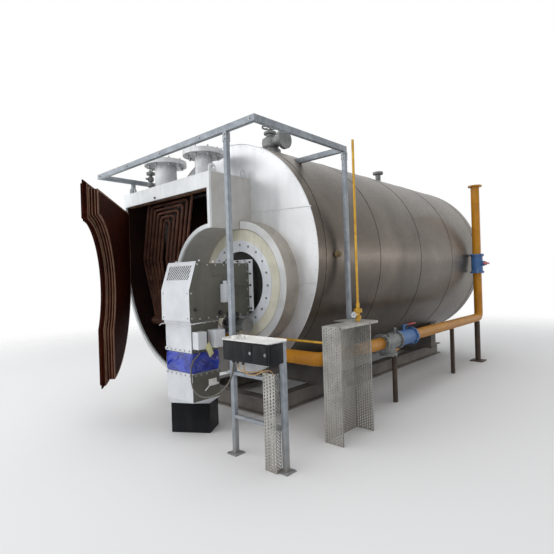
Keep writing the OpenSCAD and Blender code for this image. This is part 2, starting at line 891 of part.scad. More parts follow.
module burner_front_cover() {
    window_w = casing_w - 2 * louvre_in;
    pitch = window_w / louvres;
    color("white") {
        difference() {
            along_x(casing_x - cover_t / 2, casing_right + cover_t / 2) intersection() {
                casing_side(cover_t);
                union() {
                    translate([-casing_front - 2 * cover_t, casing_low])
                        square([cover_side + 2 * cover_t, casing_top]);
                    polygon([[-casing_front, casing_knee - cover_side], [-casing_front + cover_side, casing_knee],
                        [-casing_front + casing_slope + cover_side, casing_top + 2 * cover_t],
                        [-casing_front - 2 * cover_t, casing_top + 2 * cover_t],
                        [-casing_front - 2 * cover_t, casing_knee]]);
                }
            }
            along_x(casing_x - fit, casing_right + fit) casing_side(fit);
            on_slope(4 * cover_t, 6 * cover_t) square([window_w, louvre_h]);
        }
        on_slope(12, 8) intersection() {
            translate([-1, -1]) square([window_w + 2, louvre_h + 2]);
            for (i = [-louvres : louvres]) translate([i * pitch, -over]) rotate(-louvre_slant)
                square([pitch * 0.45, 2 * louvre_h]);
        }
    }
}

module burner_flange() {
    lap = burner_flange_lap;
    color("gainsboro") along_y(-casing_rear, -casing_rear + burner_flange_t)
        translate([casing_x - lap, casing_low + lap]) square([casing_w + 2 * lap, casing_top - casing_low]);
}

module burner_neck() {
    color("dimgray") {
        rod_y(burner_x, burner_z, neck_r, -casing_rear + burner_flange_t, plate_y);
        rod_y(burner_x, burner_z, flange_ring_r - flange_ring_t - fit, plate_y, plate_y + burner_plate_t,
            $fn = 128);
    }
}

module burner_controls() {
    control_z = duct_flex_top + 42;
    color("white") {
        translate([casing_right + fit, -690, 1350]) cube([60, 80, 190]);
        translate([duct_x + duct_w + fit, -1050, control_z]) cube([95, 105, 170]);
        translate([duct_x + duct_w + fit, -860, control_z]) cube([120, 130, 172]);
    }
}

module duct_box(z0, z1, grow = 0) {
    translate([duct_x - grow, -duct_front - grow, z0]) cube([duct_w + 2 * grow, duct_depth + 2 * grow, z1 - z0]);
}

module air_duct() {
    color("whitesmoke") {
        duct_box(duct_flex_top, casing_low - fit);
        duct_box(casing_low - 30, casing_low - fit, 10);
        duct_box(duct_flex_top + 6, duct_flex_top + 40, 8);
        duct_box(duct_low, duct_flex_low);
        duct_box(duct_flex_low - 34, duct_flex_low - 6, 8);
    }
}

module air_duct_wrapped() {
    color("royalblue") duct_box(duct_flex_low, duct_flex_top, -4);
}

module air_inlet_box() {
    color([0.15, 0.15, 0.15]) translate(inlet_box_at) rotate([0, 0, inlet_box_turn])
        cube([inlet_box_w, inlet_box_d, inlet_box_h]);
    color("whitesmoke") hull() {
        duct_box(duct_low - 4, duct_low);
        translate([inlet_box_at[0], inlet_box_at[1], inlet_box_h]) rotate([0, 0, inlet_box_turn])
            cube([inlet_box_w, inlet_box_d, 6]);
    }
}

module post(at, z0, z1) {
    translate([at[0] - post_s / 2, at[1] - post_s / 2, z0]) cube([post_s, post_s, z1 - z0]);
}

module service_frame() {
    half = post_s / 2;
    behind = post_a[1] + half + fit;
    color("lightslategray") {
        post(post_a, 0, beam_z - fit);
        post(post_b, post_b_foot, beam_z - fit);
        translate([beam_left, post_a[1] - half, beam_z]) cube([beam_right - beam_left, post_s, beam_h]);
        translate([post_b[0] - half, behind, beam_z]) cube([post_s, post_b[1] + half - behind, beam_h]);
        translate([beam_left, behind, beam_z]) cube([post_s, box_depth + 200, beam_h]);
        for (y = [-box_depth + 100, -250])
            translate([beam_left, y, box_top + fit]) cube([post_s, post_s, beam_z - box_top - 2 * fit]);
        difference() {
            translate([700, post_b[1] - half, beam_z]) cube([post_b[0] - half - fit - 700, post_s, beam_h]);
            rod_y(0, shell_axis_z, shell_r + fit, 0, shell_len, $fn = 180);
        }
    }
}

term_back = post_a[1] - post_s / 2;

module terminal_box() {
    color([0.18, 0.18, 0.2]) translate([term_x, term_back - fit - term_d, term_z]) cube([term_w, term_d, term_h]);
}

module terminal_lid() {
    lip = 12;
    color("whitesmoke") translate([post_a[0] + post_s / 2 + fit, term_back - term_d - lip, term_z + term_h])
        cube([term_x + term_w + lip - post_a[0] - post_s / 2, term_d + lip + post_s, lid_t]);
}

module terminal_stand() {
    half = post_s / 2;
    rail_from = post_a[0] + half + fit;
    color("lightslategray") {
        post([leg_x, post_a[1]], 0, term_z + term_h - fit);
        for (z = [330, 720, 960])
            translate([rail_from, term_back, z]) cube([leg_x - half - fit - rail_from, post_s, 30]);
    }
}

tray_x = leg_x - post_s / 2 - 6 - tray_w;
tray_front = term_back - tray_d - fit;

module cable_tray() {
    color("silver") translate([tray_x, tray_front, 0]) difference() {
        cube([tray_w, tray_d, term_z - 90]);
        translate([sheet_t, sheet_t, -over]) cube([tray_w - 2 * sheet_t, tray_d, term_z]);
    }
}

module cable_guard() {
    color("silver") {
        translate([guard_x - sheet_t, guard_y, 0]) cube([sheet_t, guard_len, guard_h]);
        for (y = [guard_y, guard_y + guard_len - sheet_t])
            translate([guard_x - sheet_t, y, 0]) cube([guard_w + sheet_t, sheet_t, guard_h]);
        translate([post_b[0] - post_s, guard_y + guard_len - 110, guard_h])
            cube([guard_x + guard_w - post_b[0] + post_s, post_b[1] + 28 - guard_y - guard_len + 110, sheet_t]);
    }
}

gas_turn_y = -184;
gas_drop_x = 450;
gas_burner_y = -384;
gas_block_z = 1087;
gas_block_r = 67;
gas_joint_z = gas_block_z - gas_block_r - 30;

module gas_front_pipe() {
    color("goldenrod") pipe_run([[gas_x, filter_y, gas_z], [gas_x, gas_turn_y, gas_z],
        [gas_drop_x, gas_turn_y, gas_z],
        [gas_drop_x, gas_burner_y, gas_z], [gas_drop_x, gas_burner_y, gas_joint_z]], gas_r, gas_bend);
}

module gas_burner_block() {
    color("gray") {
        translate([gas_drop_x, gas_burner_y, gas_joint_z]) cylinder(r = gas_flange_r - 15, h = 20);
        translate([gas_drop_x, gas_burner_y, gas_joint_z]) cylinder(r = gas_block_r, h = gas_block_z - gas_joint_z);
        rod_x(gas_burner_y, gas_block_z, gas_block_r, gas_drop_x - 60, casing_right + 60);
        rod_x(gas_burner_y, gas_block_z, gas_block_r + 14, casing_right + 60, casing_right + 76);
        translate([gas_drop_x + 60, gas_burner_y, gas_block_z]) cylinder(r = 60, h = casing_low - gas_block_z - fit);
    }
}

module gas_filter() {
    rear = filter_y + filter_len;
    color("darkgray") {
        rod_y(gas_x, gas_z, gas_flange_r, filter_y, filter_y + 24);
        rod_y(gas_x, gas_z, gas_body_r, filter_y + 24, rear - 24);
        rod_y(gas_x, gas_z, gas_flange_r, rear - 24, rear);
        translate([gas_x, filter_y + filter_len / 2, gas_z - 150]) cylinder(r = 88, h = 150);
    }
}

module gas_ball_valve() {
    start = filter_y + filter_len;
    color("royalblue") {
        rod_y(gas_x, gas_z, gas_flange_r, start, start + 28);
        rod_y(gas_x, gas_z, gas_body_r, start + 28, start + valve_len - 28);
        rod_y(gas_x, gas_z, gas_flange_r, start + valve_len - 28, start + valve_len);
    }
    color("firebrick") {
        translate([gas_x, start + valve_len / 2, gas_z]) cylinder(r = 18, h = 150);
        translate([gas_x - 15, start + valve_len / 2 - 20, gas_z + 150]) cube([30, 330, 10]);
    }
}

module gas_rear_pipe() {
    color("goldenrod") pipe_run([[gas_x, filter_y + filter_len + valve_len, gas_z], [gas_x, riser_y, gas_z],
        [gas_x, riser_y, riser_valve_z]], gas_r, gas_bend);
}

module gas_riser_valve() {
    color("royalblue") translate([gas_x, riser_y, riser_valve_z]) {
        cylinder(r = gas_flange_r, h = 28);
        cylinder(r = gas_body_r, h = riser_valve_h);
        translate([0, 0, riser_valve_h - 28]) cylinder(r = gas_flange_r, h = 28);
        rod_x(0, riser_valve_h / 2, 44, 0, 130);
    }
}

module gas_riser_pipe() {
    from = riser_valve_z + riser_valve_h;
    color("goldenrod") {
        translate([gas_x, riser_y, from]) difference() {
            cylinder(r = gas_r, h = riser_top - from - 24);
            translate([0, 0, over]) cylinder(r = gas_r - gas_wall, h = riser_top);
        }
        flange_up(gas_x, riser_y, riser_top - 24, gas_flange_r, 24, gas_r - gas_wall, 8, 9, 95);
    }
}

module gas_pipe_supports() {
    color("saddlebrown") {
        translate([gas_x, filter_y + filter_len - 60, 0]) cylinder(r = 30, h = gas_z - gas_body_r - fit);
        translate([gas_x - 25, support_y, 0]) cube([50, 50, gas_z - gas_r - fit]);
        translate([gas_x, riser_y - gas_bend, 0]) {
            cylinder(r = 45, h = gas_z - gas_r - fit);
            translate([-110, -110, 0]) cube([220, 220, 16]);
        }
    }
}

pilot_x = guard_x + 80;
pilot_y = guard_y + guard_len - 43;
regulator_h = 190;

// Pilot pipe from the gas pipe to the guard, and its riser with the regulator on the guard's shelf
module pilot_gas_line() {
    feed_z = 935;
    feed_x = 960;
    color("gold") {
        difference() {
            union() {
                rod_x(gas_turn_y, feed_z, pilot_r, feed_x, guard_x - sheet_t - fit, $fn = 32);
                translate([feed_x + pilot_r, gas_turn_y, gas_z])
                    cylinder(r = pilot_r, h = feed_z - gas_z, $fn = 32);
            }
            rod_x(gas_turn_y, gas_z, gas_r + fit, gas_drop_x, gas_x);
        }
        translate([pilot_x, pilot_y, post_b_foot]) {
            cylinder(r = 20, h = regulator_h, $fn = 32);
            translate([0, 0, 24]) cylinder(r = 32, h = 36, $fn = 48);
            for (z = [92, 112]) translate([0, 0, z]) cylinder(r = 44, h = 18, $fn = 48);
            rod_y(0, 72, 10, -60, 0, $fn = 24);
            rod_y(0, 72, 34, -78, -56, $fn = 48);
            translate([0, 0, regulator_h - 1])
                cylinder(r = pilot_r, h = pilot_top - post_b_foot - regulator_h, $fn = 32);
        }
    }
}

// Routes of the free cables, from point to point
burner_cable_r = 8;
burner_cable_route = [
    [700, -1000, 911], [700, -1002, 880], [690, -1030, 845], [668, -1066, 800], [658, -1082, 740],
    [656, -1084, 670], [662, -1086, 600], [684, -1087, 545], [725, -1088, 508], [785, -1088, 490],
    [855, -1088, 488], [930, -1087, 500], [1005, -1086, 526], [1075, -1085, 562], [1140, -1084, 608],
    [1195, -1083, 660], [1238, -1082, 720], [1264, -1081, 780], [1276, -1080, 840], [1278, -1080, 896]
];
lead_r = 5;
lead_a_route = [
    [1340, -1090, 896], [1340, -1090, 876], [1340, -1090, 856], [1345, -1089, 833], [1358, -1086, 814],
    [1377, -1081, 801], [1400, -1076, 796], [1440, -1066, 795], [1480, -1056, 797], [1520, -1047, 803],
    [1552, -1039, 810], [1572, -1034, 815], [1584, -1031, 817], [1604, -1027, 812], [1619, -1023, 797],
    [1624, -1022, 777], [1624, -1022, 750], [1624, -1022, 720]
];
lead_b_route = [
    [1430, -1110, 896], [1430, -1110, 873], [1430, -1110, 850], [1435, -1108, 823], [1449, -1103, 800],
    [1471, -1096, 785], [1496, -1087, 780], [1534, -1074, 784], [1572, -1061, 800], [1601, -1051, 815],
    [1625, -1043, 826], [1647, -1035, 830], [1666, -1028, 825], [1678, -1024, 817], [1686, -1021, 803],
    [1690, -1020, 785], [1690, -1020, 750], [1690, -1020, 710]
];

// Round cable of eight sides around a list of points
module cable(points, r) {
    sides = 8;
    rings = [for (i = [0 : len(points) - 1])
        let (t = tangent(points, i), n = unit(cross(t, [0.3, 1, 0.1])), m = cross(n, t))
        for (k = [0 : sides - 1]) points[i] + r * (n * cos(360 * k / sides) + m * sin(360 * k / sides))];
    last = (len(points) - 1) * sides;
    polyhedron(points = rings, faces = concat(
        [[for (k = [sides - 1 : -1 : 0]) k]],
        [for (i = [0 : len(points) - 2]) for (k = [0 : sides - 1])
            let (a = i * sides + k, b = i * sides + (k + 1) % sides)
            each [[b, b + sides, a + sides], [b, a + sides, a]]],
        [[for (k = [0 : sides - 1]) last + k]]));
}

module burner_cable() {
    color([0.1, 0.1, 0.1]) cable(burner_cable_route, burner_cable_r);
}

module terminal_lead_a() {
    color("tan") cable(lead_a_route, lead_r);
}

module terminal_lead_b() {
    color("tan") cable(lead_b_route, lead_r);
}

shell_cladding();
front_end();
rear_end();
tube_plate();
base_rails();
saddles();
furnace_collar();
insulation_ring();
burner_mount_ring();
chamber_walls();
chamber_lining();
chamber_frame();
lifting_lugs();
steam_inlet_nozzle();
steam_outlet_nozzle();
superheater_tubes();
superheater_header();
hinge_brackets();
door_plate();
door_cladding();
door_lining();
door_knuckles();
crown_valve();
shell_stubs();
chamber_valve();
rear_manhole();
burner_casing();
burner_front_cover();
burner_flange();
burner_neck();
burner_controls();
air_duct();
air_duct_wrapped();
air_inlet_box();
service_frame();
terminal_box();
terminal_lid();
terminal_stand();
cable_tray();
cable_guard();
burner_cable();
terminal_lead_a();
terminal_lead_b();
gas_burner_block();
gas_front_pipe();
gas_filter();
gas_ball_valve();
gas_rear_pipe();
gas_riser_valve();
gas_riser_pipe();
gas_pipe_supports();
pilot_gas_line();
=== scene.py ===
import bpy
import bmesh
import math
from mathutils import Matrix, Vector, noise


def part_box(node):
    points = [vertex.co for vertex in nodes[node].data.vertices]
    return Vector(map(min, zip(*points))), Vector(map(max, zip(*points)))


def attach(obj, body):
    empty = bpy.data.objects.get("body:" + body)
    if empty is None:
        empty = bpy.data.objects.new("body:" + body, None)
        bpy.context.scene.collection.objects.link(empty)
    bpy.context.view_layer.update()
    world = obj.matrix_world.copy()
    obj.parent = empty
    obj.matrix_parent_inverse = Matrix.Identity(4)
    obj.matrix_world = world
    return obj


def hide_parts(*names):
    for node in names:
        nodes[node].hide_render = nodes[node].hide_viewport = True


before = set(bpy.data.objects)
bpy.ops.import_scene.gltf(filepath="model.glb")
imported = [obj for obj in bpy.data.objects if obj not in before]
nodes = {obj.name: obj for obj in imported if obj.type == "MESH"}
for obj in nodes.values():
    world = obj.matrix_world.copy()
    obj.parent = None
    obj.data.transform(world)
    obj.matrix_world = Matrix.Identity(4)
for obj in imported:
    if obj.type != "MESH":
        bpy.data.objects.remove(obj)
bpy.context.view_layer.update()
print("frame loaded", len(nodes))


def addObject(name, data):
    added = bpy.data.objects.new(name, data)
    bpy.context.collection.objects.link(added)
    return added


# camera: looks at the burner side from the right, at standing height
cameraSettings = dict(place=(4.1177, -3.5903, 1.6), yaw=0.7413, pitch=0.0015, roll=-0.0315, lens=28.09,
    sensor=36, sees=200)


def makeCamera(place, yaw, pitch, roll, lens, sensor, sees):
    ahead = Vector((-math.sin(yaw) * math.cos(pitch), math.cos(yaw) * math.cos(pitch), -math.sin(pitch)))
    right = Vector((math.cos(yaw), math.sin(yaw), 0))
    up = right.cross(ahead)
    imageRight = right * math.cos(roll) + up * math.sin(roll)
    imageUp = up * math.cos(roll) - right * math.sin(roll)
    data = bpy.data.cameras.new("camera")
    data.lens = lens
    data.sensor_width = sensor
    data.clip_end = sees
    camera = addObject("camera", data)
    turn = Matrix((imageRight, imageUp, -ahead)).transposed().to_4x4()
    camera.matrix_world = Matrix.Translation(place) @ turn
    bpy.context.scene.camera = camera


makeCamera(**cameraSettings)
bpy.context.scene.view_settings.view_transform = "Standard"


# a socket takes a plain value, the output of another node, or a node for its first output
def fill(tree, socket, value):
    if isinstance(value, bpy.types.Node):
        value = value.outputs[0]
    if isinstance(value, bpy.types.NodeSocket):
        tree.links.new(value, socket)
    else:
        socket.default_value = value


def addNode(tree, kind, options=None, **values):
    node = tree.nodes.new(kind)
    for name, value in (options or {}).items():
        setattr(node, name, value)
    for name, value in values.items():
        fill(tree, node.inputs[name.replace("_", " ").strip()], value)
    return node


def maths(tree, how, a, b, kind="ShaderNodeMath"):
    node = addNode(tree, kind, {"operation": how})
    fill(tree, node.inputs[0], a)
    fill(tree, node.inputs[1], b)
    return node.outputs["Value"]


def vectorMaths(tree, how, a, b):
    return maths(tree, how, a, b, "ShaderNodeVectorMath")


def band(tree, value, low, high, bottom=0.0, top=1.0, options=None):
    return addNode(tree, "ShaderNodeMapRange", options, Value=value, From_Min=low, From_Max=high,
                   To_Min=bottom, To_Max=top).outputs["Result"]


def mixShaders(tree, share, first, second, end):
    mix = tree.nodes.new("ShaderNodeMixShader")
    for socket, value in zip(mix.inputs, (share, first, second)):
        fill(tree, socket, value)
    fill(tree, end.inputs["Surface"], mix)


# the hall's light comes from ahead of the boiler and its left; straight on, the world shows white
worldSettings = dict(colour=(0.95, 0.97, 1.0, 1), dim=0.10, bright=0.98, brightSide=(-0.6, -0.75, 0.28))


def makeWorld(colour, dim, bright, brightSide):
    world = bpy.data.worlds.new("hallLight")
    bpy.context.scene.world = world
    world.use_nodes = True
    tree = world.node_tree
    tree.nodes.clear()
    rays = tree.nodes.new("ShaderNodeLightPath").outputs
    seen = maths(tree, "MAXIMUM", rays["Is Camera Ray"], rays["Is Glossy Ray"])
    seen = maths(tree, "MAXIMUM", seen, rays["Is Transmission Ray"])
    way = tree.nodes.new("ShaderNodeTexCoord").outputs["Generated"]
    toward = vectorMaths(tree, "DOT_PRODUCT", way, brightSide)
    strength = band(tree, toward, -1, 1, dim, bright)
    light = addNode(tree, "ShaderNodeBackground", Color=colour, Strength=strength)
    white = addNode(tree, "ShaderNodeBackground", Color=(1, 1, 1, 1), Strength=1)
    mixShaders(tree, seen, light, white, tree.nodes.new("ShaderNodeOutputWorld"))


# the floor gives way to the white behind it, some metres around the boiler
floorSettings = dict(size=60, level=-0.001, colour=(0.87, 0.865, 0.86, 1), rough=0.7, fadeFrom=5.5,
    fadeTo=12.0, middle=(0.6, 1.6, 0.0))


def makeFloor(size, level, colour, rough, fadeFrom, fadeTo, middle):
    half = size / 2
    corners = ((-half, -half), (half, -half), (half, half), (-half, half))
    mesh = bpy.data.meshes.new("floor")
    mesh.from_pydata([(x, y, level) for x, y in corners], [], [(0, 1, 2, 3)])
    mat = bpy.data.materials.new("paleFloor")
    mat.use_nodes = True
    tree = mat.node_tree
    shader = tree.nodes["Principled BSDF"]
    fill(tree, shader.inputs["Base Color"], colour)
    fill(tree, shader.inputs["Roughness"], rough)
    coords = tree.nodes.new("ShaderNodeTexCoord").outputs["Object"]
    away = vectorMaths(tree, "DISTANCE", coords, middle)
    fade = band(tree, away, fadeFrom, fadeTo, options={"interpolation_type": "SMOOTHSTEP"})
    clear = tree.nodes.new("ShaderNodeBsdfTransparent")
    mixShaders(tree, fade, shader, clear, tree.nodes["Material Output"])
    mesh.materials.append(mat)
    addObject("floor", mesh)


# lamps: place, point aimed at, size, watts and colour
lampSettings = {
    "front": ((-2.0, -11.0, 5.0), (0.2, 0.0, 1.6), (16.0, 8.0), 380, (1.0, 0.99, 0.975)),
    "left": ((-9.0, -6.0, 4.5), (0.0, 0.0, 1.7), (9.0, 7.0), 150, (0.97, 0.985, 1.0)),
    "side": ((10.0, 11.0, 2.3), (1.4, 2.8, 1.9), (7.0, 0.7), 105, (1.0, 0.99, 0.97)),
    "top": ((0.5, 1.0, 10.0), (0.5, 1.4, 0.0), (10.0, 10.0), 300, (1.0, 1.0, 1.0)),
}


def makeLamp(name, place, aim, size, power, colour):
    data = bpy.data.lights.new(name, "AREA")
    data.shape = "RECTANGLE"
    data.size, data.size_y = size
    data.energy = power
    data.color = colour
    lamp = addObject(name, data)
    turn = (Vector(aim) - Vector(place)).to_track_quat("-Z", "Y").to_matrix().to_4x4()
    lamp.matrix_world = Matrix.Translation(place) @ turn
    lamp.visible_camera = False


makeWorld(**worldSettings)
makeFloor(**floorSettings)
for lampName, lampSpec in lampSettings.items():
    makeLamp(lampName, *lampSpec)
print("stage and lamps done")


def tone(red, green, blue):
    def straight(v):
        v = v / 255
        return v / 12.92 if v <= 0.04045 else ((v + 0.055) / 1.055) ** 2.4
    return (straight(red), straight(green), straight(blue), 1)


def noiseValue(tree, coords, scale, detail, rough, twist=0.0):
    return addNode(tree, "ShaderNodeTexNoise", Vector=coords, Scale=scale, Detail=detail,
                   Roughness=rough, Distortion=twist).outputs["Fac"]


def blendColour(tree, factor, first, second):
    node = addNode(tree, "ShaderNodeMix", {"data_type": "RGBA"})
    for index, value in ((0, factor), (6, first), (7, second)):
        fill(tree, node.inputs[index], value)
    return node.outputs[2]


# finishes: two tones in patches, a fine grain, streaks as (tone, amount), rust as (tone, scale, from) and a
# foot of dust near the floor; every one is a node material on object coordinates
plainFinish = dict(metal=0.0, patchScale=1.6, grainScale=45, grain=0.25, streak=None, streakScale=(7, 7, 0.7),
                   streakDetail=5, rust=None, foot=None, cloudy=False, dents=None, dentScale=2.2, bump=0.2,
                   bumpScale=60, bumpStrength=0.25, bumpDistance=0.004, shine=0.5, coat=0.0)
rustBand, rustRough, dustHeight = 0.09, 0.85, 0.45


def makeFinish(name, spec):
    spec = {**plainFinish, **spec}
    mat = bpy.data.materials.new(name)
    mat.use_nodes = True
    tree = mat.node_tree
    shader = tree.nodes["Principled BSDF"]
    coords = tree.nodes.new("ShaderNodeTexCoord").outputs["Object"]
    dark, light = tone(*spec["dark"]), tone(*spec["light"])
    patch = noiseValue(tree, coords, spec["patchScale"], 6, 0.62, 0.4)
    colour = blendColour(tree, band(tree, patch, 0.32, 0.68), dark, light)
    fine = noiseValue(tree, coords, spec["grainScale"], 4, 0.65)
    colour = blendColour(tree, band(tree, fine, 0.35, 0.72, 0.0, spec["grain"]), colour, dark)
    if spec["streak"]:
        streakTone, amount = spec["streak"]
        long = addNode(tree, "ShaderNodeMapping", Vector=coords, Scale=spec["streakScale"]).outputs["Vector"]
        lines = noiseValue(tree, long, 1.6, spec["streakDetail"], 0.7, 0.2)
        colour = blendColour(tree, band(tree, lines, 0.52, 0.78, 0.0, amount), colour, tone(*streakTone))
    metal, rough = spec["metal"], band(tree, patch if spec["cloudy"] else fine, 0.3, 0.75, *spec["rough"])
    if spec["rust"]:
        rustTone, scale, start = spec["rust"]
        rust = band(tree, noiseValue(tree, coords, scale, 8, 0.7, 0.6), start, start + rustBand)
        colour = blendColour(tree, rust, colour, tone(*rustTone))
        rough = maths(tree, "MAXIMUM", rough, maths(tree, "MULTIPLY", rust, rustRough))
        if metal:
            metal = band(tree, rust, 0.0, 1.0, metal, 0.0)
    if spec["foot"]:
        split = addNode(tree, "ShaderNodeSeparateXYZ", Vector=coords)
        low = band(tree, split.outputs["Z"], dustHeight, 0.0)
        dust = maths(tree, "MULTIPLY", low, band(tree, patch, 0.3, 0.7, 0.3, 1.0))
        colour = blendColour(tree, dust, colour, tone(*spec["foot"]))
    height = noiseValue(tree, coords, spec["bumpScale"], 5, 0.6)
    if spec["dents"]:
        wide = noiseValue(tree, coords, spec["dentScale"], 2, 0.4)
        height = maths(tree, "ADD", maths(tree, "MULTIPLY", height, spec["bump"]),
                       maths(tree, "MULTIPLY", wide, spec["dents"]))
    lift = addNode(tree, "ShaderNodeBump", Height=height, Strength=spec["bumpStrength"],
                   Distance=spec["bumpDistance"])
    for socket, value in (("Base Color", colour), ("Roughness", rough), ("Metallic", metal),
                          ("Normal", lift.outputs["Normal"]), ("Specular IOR Level", spec["shine"]),
                          ("Coat Weight", spec["coat"])):
        fill(tree, shader.inputs[socket], value)
    return mat


